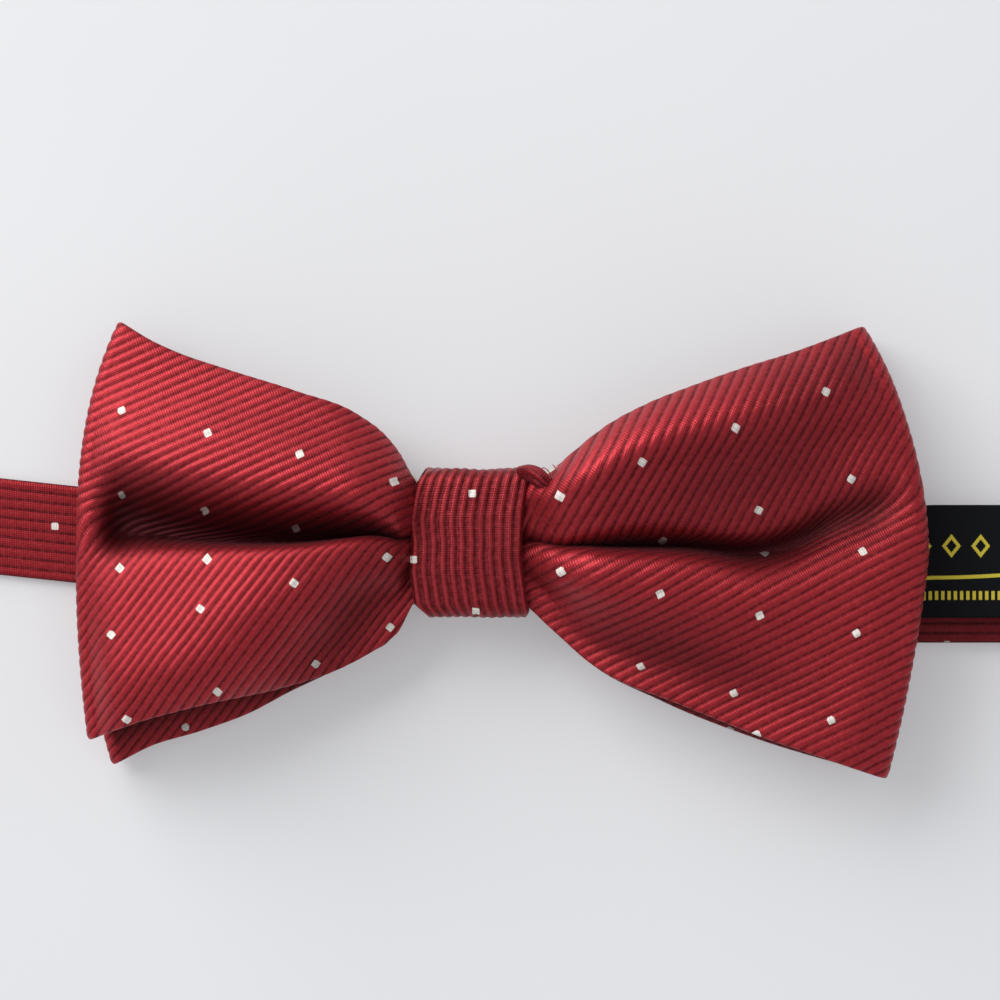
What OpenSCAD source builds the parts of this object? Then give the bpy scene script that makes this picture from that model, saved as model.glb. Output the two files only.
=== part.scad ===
// Pre-tied bow tie with a hook-and-slider neckband, lying on its back.
// +X runs along the bow to its right wing, +Y towards its upper edge, +Z out of its front.
// The origin is on the surface that the tie lies on, under the middle of the knot.

/* [Bow] */
// Reach of the left wing from the middle of the knot
left_reach = 55.5; // [50:0.5:60]
// Reach of the right wing from the middle of the knot
right_reach = 64.7; // [60:0.1:70]
// Share of the full wing height, 1 being a wing about 60 mm tall
wing_height = 1.0; // [0.85:0.05:1.1]
// Thickness of one bow layer, which is two plies of silk and its interlining
layer_t = 1.1; // [0.9:0.05:1.2]
// Extra height of the front layer over the middle of each wing
loft = 5.0; // [2:0.25:6]

/* [Knot] */
// Width of the knot along the bow
knot_w = 16.6; // [14:0.2:17]
// Height of the knot across the bow
knot_h = 21.5; // [21.5:0.1:23]
// Depth of the knot, front to back
knot_d = 11.6; // [11.6:0.1:14]

/* [Neckband] */
// Width of the neckband
band_w = 14; // [12:0.5:14]
// Thickness of the neckband
band_t = 1.0; // [0.8:0.05:1]
// Distance from the knot to the bar of the eye
eye_x = 140; // [120:5:180]
// Distance from the knot to the bar of the hook at the shortest setting
hook_x = 219; // [215:1:260]
// Distance from the knot to the middle of the slider at the shortest setting
slider_x = 42; // [40:0.5:43]

/* [Label] */
// Length of the woven label
label_l = 44; // [30:1:44]
// Height of the woven label
label_h = 16.2; // [12:0.2:17]

/* [Hidden] */
silk = [0.62, 0.09, 0.14];
silk_dark = [0.45, 0.07, 0.1];
canvas = [0.88, 0.85, 0.78];
thread = [0.5, 0.06, 0.1];
nickel = [0.78, 0.78, 0.76];
$fn = 48;

function clamp01(t) = min(1, max(0, t));
function ease(t) = let(c = clamp01(t)) c * c * (3 - 2 * c);

// ---------- outline of the bow: height of an edge at each share of the wing's reach ----------
lf_top = [[0, 8.5], [0.175, 8.7], [0.21, 12.5], [0.24, 14.5], [0.325, 18], [0.5, 21.3], [0.7, 24.6], [0.865, 27.2], [1, 30.2]];
lf_bot = [[0, -8.5], [0.165, -8.7], [0.19, -12], [0.21, -13.5], [0.28, -16], [0.37, -18.2], [0.5, -20.2], [0.73, -22.7], [0.9, -25.3], [1, -27.2]];
lr_top = [[0, 8.5], [0.175, 8.7], [0.24, 14], [0.325, 17], [0.5, 20.5], [0.7, 23.5], [0.865, 26], [1, 27.8]];
lr_bot = [[0, -8.5], [0.17, -8.7], [0.22, -13.5], [0.3, -16], [0.39, -18.2], [0.52, -21.3], [0.63, -24.4], [0.77, -27], [0.93, -29.5], [1, -31]];
rf_top = [[0, 8.5], [0.16, 8.7], [0.213, 10], [0.273, 13.4], [0.36, 17], [0.464, 19.7], [0.593, 22.3], [0.723, 24.6], [0.851, 26.8], [0.965, 29], [1, 29.8]];
rf_bot = [[0, -8.5], [0.15, -8.7], [0.193, -11.4], [0.234, -13.5], [0.3, -16.8], [0.382, -19.6], [0.48, -21.7], [0.6, -24.4], [0.726, -27.2], [0.847, -29.5], [1, -32.2]];
rr_top = [[0, 8.5], [0.16, 8.7], [0.273, 13], [0.36, 16.5], [0.593, 22], [0.851, 26.5], [1, 29.5]];
rr_bot = [[0, -8.5], [0.15, -8.7], [0.234, -13.5], [0.3, -17], [0.48, -22.3], [0.726, -27.9], [1, -32.9]];

// Reach of each wing at v, which runs from -1 on the lower edge to 1 on the upper
function reach(side, rear, v) =
  side < 0
    ? left_reach - (rear ? 0.7 : 0)
      - (v > -0.3 ? (rear ? 3.4 : 5.6) * pow((v + 0.3) / 1.3, 3.2) : (rear ? 3.4 : 1.4) * pow((-0.3 - v) / 0.7, 1.7))
    : right_reach - (rear ? 0.7 : 0)
      - (v > 0 ? (rear ? 6.4 : 8.4) * pow(v, 1.9) : 5.4 * pow(-v, 1.25));
function edge_y(side, rear, t, v) =
  let(top = side < 0 ? (rear ? lr_top : lf_top) : (rear ? rr_top : rf_top),
      bot = side < 0 ? (rear ? lr_bot : lf_bot) : (rear ? rr_bot : rf_bot),
      a = lookup(t, top), b = lookup(t, bot),
      k = 1 + (wing_height - 1) * ease((t - 0.2) / 0.2))
  k * ((a + b) / 2 + v * (a - b) / 2);

// ---------- heights of the four layers above the table ----------
step = layer_t + 0.4;
z_low = 3.4;
function open_up(t) = ease((t - 0.16) / 0.5);
function lift(side, t, v) =
  side < 0 ? -2.4 * open_up(t) * v * v
           : 3.3 * ease((t - 0.3) / 0.26) * (1 - pow((v + 0.13) / 1.13, 4)) - 2.2 * open_up(t) * pow(v, 6);
function z_rear_back(side, t, v) = z_low + lift(side, t, v);
function z_rear_front(side, t, v) = z_rear_back(side, t, v) + step + (side < 0 ? 1.3 : 0.8) * open_up(t) * (1 - 0.35 * v * v);
function z_front_back(side, t, v) = z_rear_front(side, t, v) + step
  + open_up(t) * (0.35 + (side < 0 ? pow(max(0, -v), 3) : 0));
function crease_v(side, t) = side < 0 ? 0.1 : -0.03 + 0.23 * ease((t - 0.7) / 0.25);
function dome(t) = pow(max(0, sin(180 * clamp01((t - 0.15) / 0.85))), 0.8);
function z_front_front(side, t, v) =
  z_front_back(side, t, v) + step
    + (2 * open_up(t) + loft * dome(t) * (1 - v * v))
      * (1 - 0.85 * (1 - ease((t - 0.88) / 0.12)) * exp(-pow((v - crease_v(side, t)) / 0.17, 2)));
function z_of(side, rear, front, t, v) =
  rear ? (front ? z_rear_front(side, t, v) : z_rear_back(side, t, v))
       : (front ? z_front_front(side, t, v) : z_front_back(side, t, v));

// One point of a bow's middle surface; u runs 0 to 6 once round the loop
function fold_r(side, rear, v) = (z_of(side, rear, true, 1, v) - z_of(side, rear, false, 1, v)) / 2;
function bow_pt(rear, u, v) =
  let(side = u < 3 ? -1 : 1,
      k = u < 3 ? u : 6 - u,
      r = fold_r(side, rear, v),
      e = reach(side, rear, v) - layer_t / 2 - r)
  k <= 1
    ? let(t = 0.012 + 0.988 * k) [side * t * e, edge_y(side, rear, t, v), z_of(side, rear, false, t, v)]
    : k < 2
      ? let(a = -90 + 180 * (k - 1), zc = (z_of(side, rear, true, 1, v) + z_of(side, rear, false, 1, v)) / 2)
        [side * (e + r * cos(a)), edge_y(side, rear, 1, v), zc + r * sin(a)]
      : let(t = 3 - k) [side * t * e, edge_y(side, rear, t, v), z_of(side, rear, true, t, v)];
function unit2(a, b) = let(l = sqrt(a * a + b * b)) [a / l, b / l];
function bow_n(rear, u, v) =
  let(d = 0.02, p = bow_pt(rear, max(0, u - d), v), q = bow_pt(rear, min(6, u + d), v), w = unit2(q[0] - p[0], q[2] - p[2]))
  [-w[1], 0, w[0]];
function bow_off(rear, u, v, h) = bow_pt(rear, u, v) + h * bow_n(rear, u, v);

// Stations round the loop: close in the folds, wider on the flats
flat = [0, 0.08, 0.165, 0.21, 0.27, 0.36, 0.46, 0.56, 0.67, 0.78, 0.89, 1];
stations = concat(flat, [for (i = [1 : 4]) 1 + i / 5], [for (i = [11 : -1 : 0]) 3 - flat[i]],
  [for (i = [1 : 11]) 3 + flat[i]], [for (i = [1 : 4]) 4 + i / 5], [for (i = [11 : -1 : 0]) 6 - flat[i]]);
rows = [for (j = [-5 : 5]) j / 5];
ply = 0.3;
h2 = layer_t / 2;

// The two plies as one folded tube of cloth, its long seam left as a slit on the inner side
function shell_ring(rear, u) = concat(
  [for (v = rows) bow_off(rear, u, v, h2)],
  [for (j = [10 : -1 : 6]) bow_off(rear, u, rows[j], -h2)],
  [bow_off(rear, u, 0.02, -h2), bow_off(rear, u, 0.02, -h2 + ply)],
  [for (j = [6 : 9]) bow_off(rear, u, rows[j], -h2 + ply)],
  [bow_off(rear, u, 0.975, -h2 + ply), bow_off(rear, u, 0.975, h2 - ply)],
  [for (j = [9 : -1 : 1]) bow_off(rear, u, rows[j], h2 - ply)],
  [bow_off(rear, u, -0.975, h2 - ply), bow_off(rear, u, -0.975, -h2 + ply)],
  [for (j = [1 : 4]) bow_off(rear, u, rows[j], -h2 + ply)],
  [bow_off(rear, u, -0.02, -h2 + ply), bow_off(rear, u, -0.02, -h2)],
  [for (j = [4 : -1 : 0]) bow_off(rear, u, rows[j], -h2)]);
mid_rows = concat([-0.95], [for (j = [-4 : 4]) j / 5], [0.95]);
// The interlining's edge rows lie on the straight line between the rows of the plies round them, and are thinner
function mid_pt(rear, u, v, s) =
  abs(v) < 0.9
    ? bow_off(rear, u, v, s * (h2 - ply - 0.06))
    : let(q = v > 0 ? 1 : -1, a = bow_off(rear, u, 0.8 * q, s * (h2 - ply)), b = bow_off(rear, u, 0.975 * q, s * (h2 - ply)), n = bow_n(rear, u, v))
      a + (b - a) * 0.85 - s * 0.13 * n;
function mid_ring(rear, u) = concat(
  [for (v = mid_rows) mid_pt(rear, u, v, 1)],
  [for (j = [10 : -1 : 6]) mid_pt(rear, u, mid_rows[j], -1)],
  [for (v = [0.02, -0.02]) mid_pt(rear, u, v, -1)],
  [for (j = [4 : -1 : 0]) mid_pt(rear, u, mid_rows[j], -1)]);

// Which way a face's diagonal runs, so that skins facing each other have matching facets
function in_void(j) = j >= 17 && j <= 38;
function in_front(i) = i >= 16 && i < 38;
// A solid lofted through rings with the same number of points
module loft(rings, caps = [], turned = function(i, j) false) {
  n = len(rings[0]);
  m = len(rings);
  polyhedron(
    points = [for (r = rings) for (p = r) p],
    faces = concat(
      len(caps) ? caps : [[for (j = [0 : n - 1]) j]],
      len(caps) ? [for (c = caps) [for (k = [2 : -1 : 0]) (m - 1) * n + c[k]]] : [[for (j = [n - 1 : -1 : 0]) (m - 1) * n + j]],
      [for (i = [0 : m - 2]) for (j = [0 : n - 1]) [i * n + j, (i + 1) * n + j, (turned(i, j) ? i + 1 : i) * n + (j + 1) % n]],
      [for (i = [0 : m - 2]) for (j = [0 : n - 1]) [i * n + (j + 1) % n, (turned(i, j) ? i : i + 1) * n + j, (i + 1) * n + (j + 1) % n]]));
}

module front_bow_shell() { color(silk) loft([for (u = stations) shell_ring(false, u)], [], function(i, j) in_void(j) != in_front(i)); }
module front_bow_interlining() { color(canvas) loft([for (u = stations) mid_ring(false, u)], [], function(i, j) in_front(i)); }
module rear_bow_shell() { color(silk_dark) loft([for (u = stations) shell_ring(true, u)], [], function(i, j) in_void(j) != in_front(i)); }
module rear_bow_interlining() { color(canvas) loft([for (u = stations) mid_ring(true, u)], [], function(i, j) in_front(i)); }

// ---------- knot ----------
pinch_top = z_low + 3 * step + h2;
module rounded(y0, y1, z0, z1, r) {
  translate([y0 + r, z0]) square([y1 - y0 - 2 * r, z1 - z0]);
  translate([y0, z0 + r]) square([y1 - y0, z1 - z0 - 2 * r]);
  for (y = [y0 + r, y1 - r], z = [z0 + r, z1 - r]) translate([y, z]) circle(r);
}
// Stands a profile drawn in Y and Z up along X, centred on the knot
module along_x(w) { rotate([90, 0, 90]) translate([0, 0, -w / 2]) linear_extrude(w) children(); }
kh = knot_h / 2;
wrap_t = 0.7;
seam_y = 6.5;
module knot_wrap() {
  color(silk) along_x(knot_w) difference() {
    rounded(-kh, kh, 0, knot_d, 1.9);
    rounded(-kh + wrap_t, kh - wrap_t, wrap_t, knot_d - wrap_t, 1.2);
    translate([seam_y - 0.25, -1]) square([0.5, 1 + wrap_t + 0.3]);
  }
}
module knot_interlining() {
  color(canvas) along_x(knot_w - 1) difference() {
    rounded(-kh + wrap_t + 0.1, kh - wrap_t - 0.1, wrap_t + 0.1, knot_d - wrap_t - 0.1, 1.1);
    rounded(-kh + wrap_t + 0.6, kh - wrap_t - 0.6, -3, pinch_top + 0.75, 0.7);
    translate([-20, -5]) square([40, 5 + wrap_t + 2]);
  }
}
// Whip stitches that close the wrap's two edges at the back
module knot_closing_stitches() {
  color(thread) for (x = [-6 : 2 : 6]) translate([x - 0.15, seam_y - 1.1, 0.15]) cube([0.3, 2.2, 0.4]);
}
// Turns of thread that hold the gathers of both bows
module bow_gather_thread() {
  color(thread) for (x = [-1.5 : 0.75 : 1.5]) translate([x, 0, 0]) along_x(0.3) difference() {
    rounded(-9.15, 9.15, z_low - h2 - 0.4, pinch_top + 0.4, 1);
    rounded(-8.85, 8.85, z_low - h2 - 0.1, pinch_top + 0.1, 0.7);
  }
}
// Tacks that fasten the neckband to the back of the knot
module knot_tack_stitches() {
  color(thread) for (x = [-5, 5], y = [-6, 2]) translate([x - 0.9, y - 0.15, 0.2]) cube([1.8, 0.3, 1.5]);
}

// ---------- neckband ----------
main_y = -7.5;  // middle of the right half's first run
eye_y = 6;      // middle of the left end
run_z = 1.5;    // middle height of the first run
back_z = run_z + band_t + 0.2;   // middle height of the return run
slider_travel = 158;
bar_r = 0.6;
loop_r = bar_r + 0.1 + band_t / 2;
eye_bar_z = 0.55 + loop_r;
hook_bar_z = run_z + loop_r;
slider_bar_z = back_z - 0.1 + loop_r;
left_y = [[-135, 6], [-120, 5.9], [-105, 5.4], [-90, 4.4], [-70, 2.5], [-56, 1], [-40, -0.4], [-20, -1.5], [-9, -2], [9, -2], [14, -2.6], [20, -4.6], [27, -6.6], [34, -7.5], [60, -7.5]];
function run_y(x) = lookup(x, left_y);
function run_mid_z(x) = x > -8 ? run_z : run_z - 0.95 * ease((-8 - x) / 30);
// Centre line of the label side's run, which drifts up from the slider and back down to the hook
function drift_y(x) = main_y + 4.8 * ease((x - slider_x - 5) / 20) * (1 - ease((x - 115) / 60));

function arc(cx, cz, r, a0, a1, n, y) = [for (i = [0 : n]) let(a = a0 + (a1 - a0) * i / n) [cx + r * cos(a), y, cz + r * sin(a)]];
tan_of = function(P, i) let(p = P[max(0, i - 1)], q = P[min(len(P) - 1, i + 1)]) unit2(q[0] - p[0], q[2] - p[2]);
function ring(P, i, sec) = let(w = tan_of(P, i)) [for (q = sec) P[i] + [0, q[0], 0] + q[1] * [-w[1], 0, w[0]]];
bw = band_w / 2;
bt = band_t / 2;
cloth_sec = [[-0.2, bt], [-bw + 0.2, bt], [-bw, bt - 0.2], [-bw, -bt + 0.2], [-bw + 0.2, -bt], [bw - 0.2, -bt], [bw, -bt + 0.2],
  [bw, bt - 0.2], [bw - 0.2, bt], [0.2, bt], [0.2, bt - 0.28], [bw - 0.35, bt - 0.28], [bw - 0.35, -bt + 0.28],
  [-bw + 0.35, -bt + 0.28], [-bw + 0.35, bt - 0.28], [-0.2, bt - 0.28]];
mid_sec = [[-bw + 0.5, bt - 0.34], [-bw + 0.5, -bt + 0.34], [bw - 0.5, -bt + 0.34], [bw - 0.5, bt - 0.34]];
// End faces of the cloth section, as triangles between its outer and inner outlines
cloth_caps = [[0, 1, 14], [0, 14, 15], [1, 2, 14], [2, 3, 13], [2, 13, 14], [3, 4, 13], [4, 5, 12], [4, 12, 13],
  [5, 6, 12], [6, 7, 11], [6, 11, 12], [7, 8, 11], [8, 9, 10], [8, 10, 11]];
module strip(P, sec) { loft([for (i = [0 : len(P) - 1]) ring(P, i, sec)], len(sec) == 16 ? cloth_caps : []); }

// Left end: a tail on top, the turn round the eye's bar, and the first run to the right
main_path = concat(
  [for (x = [-126, -130, -134, -137]) [x, eye_y, eye_bar_z + loop_r - 0.35 * ease((x + 138) / 10)]],
  arc(-eye_x, eye_bar_z, loop_r, 90, 270, 9, eye_y),
  [for (x = [-137, -134, -130, -126, -120, -112, -105, -98, -90, -82, -76, -70, -63, -56, -48, -40, -32, -26, -20, -14, -9, -4, 4, 9, 11.5, 14, 17, 20, 23, 27, 30, 34, 40])
    [x, run_y(x), run_mid_z(x)]],
  [for (x = [60 : 20 : 200]) [x, main_y, run_z]]);
module neckband_main_run() { color(silk_dark) strip(main_path, cloth_sec); }
module neckband_main_interlining() { color(canvas) strip(main_path, mid_sec); }

// The last stretch of the first run, which lengthens as the hook end moves out
outer_path = [for (x = [200.2, 204, 208, hook_x - 8.2]) [x, main_y, run_z]];
module neckband_outer_run() { color(silk_dark) strip(outer_path, cloth_sec); }
module neckband_outer_interlining() { color(canvas) strip(outer_path, mid_sec); }

// The turn of the band round the bar of the hook
fold_path = concat(
  [for (x = [hook_x - 8, hook_x - 4, hook_x - 2]) [x, main_y, run_z]],
  arc(hook_x, hook_bar_z, loop_r, -90, 90, 9, main_y),
  [[hook_x - 2, main_y, hook_bar_z + loop_r - 0.2], [hook_x - 4, main_y, hook_bar_z + loop_r - 0.7], [hook_x - 8, main_y, back_z]]);
module neckband_hook_fold() { color(silk_dark) strip(fold_path, cloth_sec); }
module neckband_hook_fold_interlining() { color(canvas) strip(fold_path, mid_sec); }

// The return run, from the hook back to the label
tab_end = slider_x + 58;
return_path = [for (i = [0 : 14]) let(x = hook_x - 8.2 + i / 14 * (tab_end + 0.2 - hook_x + 8.2)) [x, drift_y(x), back_z]];
module neckband_return_run() { color(silk_dark) strip(return_path, cloth_sec); }
module neckband_return_run_interlining() { color(canvas) strip(return_path, mid_sec); }

// The slider end of the return run: under the label, round the slider's bar and back on top as a tail
tail_z = back_z + band_t + 0.12;
tab_path = concat(
  [for (i = [0 : 12]) let(x = tab_end + i / 12 * (slider_x + 5 - tab_end)) [x, drift_y(x), back_z]],
  [[slider_x + 2.4, main_y, back_z - 0.06]],
  arc(slider_x, slider_bar_z, loop_r, 270, 90, 8, main_y),
  [[slider_x + 2, main_y, slider_bar_z + loop_r - 0.2], [slider_x + 4, main_y, tail_z + 0.35], [slider_x + 6, main_y, tail_z + 0.05],
   [slider_x + 8, drift_y(slider_x + 8), tail_z], [slider_x + 11, drift_y(slider_x + 11), tail_z]]);
module neckband_return_tab() { color(silk_dark) strip(tab_path, cloth_sec); }
module neckband_return_tab_interlining() { color(canvas) strip(tab_path, mid_sec); }

// ---------- label ----------
label_z = back_z + bt + 0.05;
label_x0 = slider_x + 13;
module woven_label() {
  P = [for (i = [0 : 8]) let(x = label_x0 + i / 8 * label_l) [x, drift_y(x), label_z + 0.2]];
  color([0.05, 0.05, 0.06]) strip(P, [[-label_h / 2, 0.2], [-label_h / 2, -0.2], [label_h / 2, -0.2], [label_h / 2, 0.2]]);
}
// Rows of stitches along both ends of the label
module label_stitches() {
  color([0.08, 0.08, 0.09]) for (x = [label_x0 + 1, label_x0 + label_l - 1], k = [-6 : 2 : 6])
    translate([x - 0.15, drift_y(x) + k - 0.7, back_z + 0.2]) cube([0.3, 1.4, label_z + 0.45 - back_z - 0.2]);
}

// ---------- metal pieces ----------
rail = band_w / 2 + 0.3;   // inner face of the side rails from the band's middle
module bar(r) { rotate([90, 0, 0]) cylinder(h = 2 * rail + 1, r = r, center = true); }
// The slider: two low cross bars under the band, and a raised bar over it
module slider() {
  color(nickel) translate([slider_x, main_y, 0]) {
    for (s = [-1, 1]) {
      translate([s * 6 - 0.8, -rail - 0.9, 0]) cube([1.6, 2 * rail + 1.8, 0.8]);
      translate([-6.8, s > 0 ? rail : -rail - 1.1, 0]) cube([13.6, 1.1, 1.2]);
      translate([-1.1, s > 0 ? rail : -rail - 1.1, 0]) cube([2.2, 1.1, slider_bar_z]);
      translate([0, s * (rail + 0.55), slider_bar_z]) rotate([90, 0, 0]) cylinder(h = 1.1, r = 1.1, center = true);
    }
    translate([0, 0, slider_bar_z]) bar(bar_r);
  }
}
// The hook: a loop for the band, a cross plate and a tongue turned back on itself
module hook() {
  color(nickel) translate([hook_x, main_y, hook_bar_z]) {
    bar(bar_r);
    for (s = [-1, 1]) {
      translate([0, s * (rail + 0.5), 0]) rotate([90, 0, 0]) cylinder(h = 1, r = 0.9, center = true);
      translate([0, s > 0 ? rail : -rail - 1, -0.6]) cube([4.5, 1, 1.2]);
    }
    translate([3.3, -rail - 1, -0.5]) cube([2.7, 2 * rail + 2, 1]);
    translate([5, -2.5, -0.5]) cube([9, 5, 1]);
    translate([14, 2.5, 1.6]) rotate([90, 0, 0]) linear_extrude(5) difference() {
      circle(2.1);
      circle(1.1);
      translate([-3, -3]) square([3, 6]);
    }
    translate([8.5, -2.5, 2.7]) cube([5.5, 5, 1]);
  }
}
// The eye: a loop for the band and a wide slot that the hook's tongue drops through
module eye() {
  color(nickel) translate([-eye_x, eye_y, eye_bar_z]) {
    bar(bar_r);
    for (s = [-1, 1]) {
      translate([0, s * (rail + 0.5), 0]) rotate([90, 0, 0]) cylinder(h = 1, r = 0.9, center = true);
      translate([-4.5, s > 0 ? rail : -rail - 1, -0.6]) cube([4.5, 1, 1.2]);
    }
    difference() {
      translate([-12.5, -rail - 1, -0.5]) cube([9.2, 2 * rail + 2, 1]);
      translate([-10.6, -5.75, -2]) cube([5.1, 11.5, 4]);
    }
  }
}

// ---------- stitching on the band ----------
module eye_bar_tack() {
  color(thread) for (k = [-5.5 : 1 : 5.5]) translate([-129.5, eye_y + k - 0.15, 0.3]) cube([2.4, 0.3, eye_bar_z + loop_r]);
}
module slider_bar_tack() {
  color(thread) for (k = [-5.5 : 1 : 5.5]) translate([slider_x + 7, drift_y(slider_x + 8.5) + k - 0.15, back_z]) cube([2.4, 0.3, tail_z + bt + 0.1 - back_z]);
}

front_bow_shell();
front_bow_interlining();
rear_bow_shell();
rear_bow_interlining();
bow_gather_thread();
knot_wrap();
knot_interlining();
knot_closing_stitches();
knot_tack_stitches();
neckband_main_run();
neckband_main_interlining();
neckband_outer_run();
neckband_outer_interlining();
neckband_hook_fold();
neckband_hook_fold_interlining();
neckband_return_run();
neckband_return_run_interlining();
neckband_return_tab();
neckband_return_tab_interlining();
slider();
hook();
eye();
woven_label();
label_stitches();
eye_bar_tack();
slider_bar_tack();
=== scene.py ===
import math

import bpy
import numpy as np
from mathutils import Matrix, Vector


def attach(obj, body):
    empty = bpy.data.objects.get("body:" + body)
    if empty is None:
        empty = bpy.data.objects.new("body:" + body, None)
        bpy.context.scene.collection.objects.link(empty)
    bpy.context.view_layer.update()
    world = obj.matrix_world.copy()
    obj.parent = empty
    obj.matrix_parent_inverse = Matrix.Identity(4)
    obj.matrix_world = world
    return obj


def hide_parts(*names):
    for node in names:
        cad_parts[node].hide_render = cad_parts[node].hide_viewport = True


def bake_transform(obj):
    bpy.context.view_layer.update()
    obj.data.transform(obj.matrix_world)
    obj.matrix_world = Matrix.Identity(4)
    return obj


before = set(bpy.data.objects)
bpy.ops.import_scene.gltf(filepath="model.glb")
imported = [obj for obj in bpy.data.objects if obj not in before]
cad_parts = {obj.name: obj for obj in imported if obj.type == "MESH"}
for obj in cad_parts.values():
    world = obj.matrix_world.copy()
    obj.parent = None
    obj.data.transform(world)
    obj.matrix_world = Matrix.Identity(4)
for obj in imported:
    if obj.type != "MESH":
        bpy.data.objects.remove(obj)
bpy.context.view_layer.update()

MM = 0.001
scene = bpy.context.scene
ROOT, EYE_BODY, HOOK_END, HOOK_BODY, SLIDER_END = "bow_and_band", "eye_body", "hook_end", "hook_body", "slider_end"


# ---------------------------------------------------------------- small maths
def ease(t):
    t = np.clip(t, 0, 1)
    return t * t * (3 - 2 * t)


def hermite(x, xs, ys):
    """Smooth curve through (xs, ys), flat outside. ys may be (n, m) for m curves at once."""
    xs, ys = np.asarray(xs, float), np.asarray(ys, float)
    d = np.diff(ys, axis=0) / np.diff(xs).reshape(-1, *([1] * (ys.ndim - 1)))
    m = np.zeros_like(ys)
    h = np.diff(xs)
    for i in range(1, len(xs) - 1):
        w = h[i] / (h[i - 1] + h[i])
        m[i] = d[i - 1] * w + d[i] * (1 - w)
    m[0], m[-1] = d[0], d[-1]
    x = np.clip(x, xs[0], xs[-1])
    k = np.clip(np.searchsorted(xs, x, side="right") - 1, 0, len(xs) - 2)
    s = (x - xs[k]) / h[k]
    if ys.ndim > 1:
        s = s[..., None]
        hk = h[k][..., None]
    else:
        hk = h[k]
    a, b = 2 * s**3 - 3 * s**2 + 1, s**3 - 2 * s**2 + s
    return a * ys[k] + b * hk * m[k] + (1 - a) * ys[k + 1] + (s**3 - s**2) * hk * m[k + 1]


def surface_noise(x, y, scale, seed):
    """Smooth repeatable noise from -1 to 1, from a few sines at odd angles."""
    out, total = np.zeros(np.broadcast(x, y).shape), 0.0
    for k in range(5):
        a = seed * 1.7 + k * 2.399
        f = (0.6 + 0.35 * k) / scale
        out = out + np.sin(2 * np.pi * f * (x * math.cos(a) + y * math.sin(a)) + seed * 3.1 + k * 1.3) / (1 + k * 0.6)
        total += 1 / (1 + k * 0.6)
    return out / total


# ---------------------------------------------------------------- mesh helpers
def new_object(name, verts, faces, attrs=None, smooth=True):
    """verts in millimetres. faces is an (n, 4) array, or a list that may hold any polygons."""
    me = bpy.data.meshes.new(name)
    me.from_pydata((np.asarray(verts) * MM).tolist(), [], faces.tolist() if isinstance(faces, np.ndarray) else faces)
    me.validate()
    me.polygons.foreach_set("use_smooth", [smooth] * len(me.polygons))
    for key, values in (attrs or {}).items():
        values = np.asarray(values, np.float32)
        if values.ndim == 1:
            a = me.attributes.new(key, "FLOAT", "POINT")
            a.data.foreach_set("value", values)
        else:
            a = me.attributes.new(key, "FLOAT_VECTOR", "POINT")
            a.data.foreach_set("vector", values.reshape(-1))
    me.update()
    o = bpy.data.objects.new(name, me)
    scene.collection.objects.link(o)
    return o


def grid_faces(n, m, offset=0, close_n=False, close_m=False, flip=False):
    i = np.arange(n if close_n else n - 1)
    j = np.arange(m if close_m else m - 1)
    I, J = np.meshgrid(i, j, indexing="ij")
    I2, J2 = (I + 1) % n, (J + 1) % m
    q = np.stack([I * m + J, I2 * m + J, I2 * m + J2, I * m + J2], -1).reshape(-1, 4) + offset
    return q[:, ::-1] if flip else q


def normals_of(P):
    du, dv = np.gradient(P, axis=0), np.gradient(P, axis=1)
    n = np.cross(du, dv)
    return n / np.maximum(np.linalg.norm(n, axis=-1, keepdims=True), 1e-9)


# ---------------------------------------------------------------- the bows
T_ROWS = [0, 0.10, 0.15, 0.19, 0.26, 0.4, 0.55, 0.7, 0.85, 0.95, 1.0]
V_ROWS = [-1, -0.8, -0.55, -0.3, -0.12, 0.1, 0.3, 0.55, 0.8, 1]
# Height of the front layer in mm, at each share of the reach (down) and from the lower edge to the upper one (across)
Z_LEFT = [
    [7.9, 8.0, 8.1, 8.2, 8.3, 8.4, 8.4, 8.3, 8.2, 8.0],
    [7.9, 8.1, 8.2, 8.4, 8.7, 9.0, 9.2, 9.0, 8.6, 8.2],
    [8.0, 8.3, 8.4, 9.2, 9.9, 10.2, 10.4, 10.3, 9.8, 8.8],
    [8.1, 8.3, 8.6, 11.4, 13.0, 14.0, 14.8, 14.4, 12.8, 9.8],
    [8.2, 8.6, 9.4, 13.8, 15.6, 16.6, 17.6, 16.6, 14.0, 10.8],
    [8.6, 10.4, 14.6, 17.0, 17.2, 17.8, 18.4, 17.0, 14.2, 11.8],
    [10.2, 14.8, 17.4, 17.6, 16.8, 17.4, 18.2, 16.6, 13.6, 11.2],
    [12.8, 16.4, 17.0, 16.0, 15.0, 16.0, 17.2, 15.2, 12.2, 9.8],
    [12.8, 15.2, 14.9, 14.0, 13.2, 14.2, 15.4, 13.2, 10.6, 8.6],
    [11.2, 12.8, 12.6, 12.0, 11.6, 12.2, 13.0, 11.2, 9.2, 7.9],
    [8.8, 9.4, 9.8, 10.2, 10.6, 10.8, 10.6, 9.6, 8.4, 7.4],
]
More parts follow.
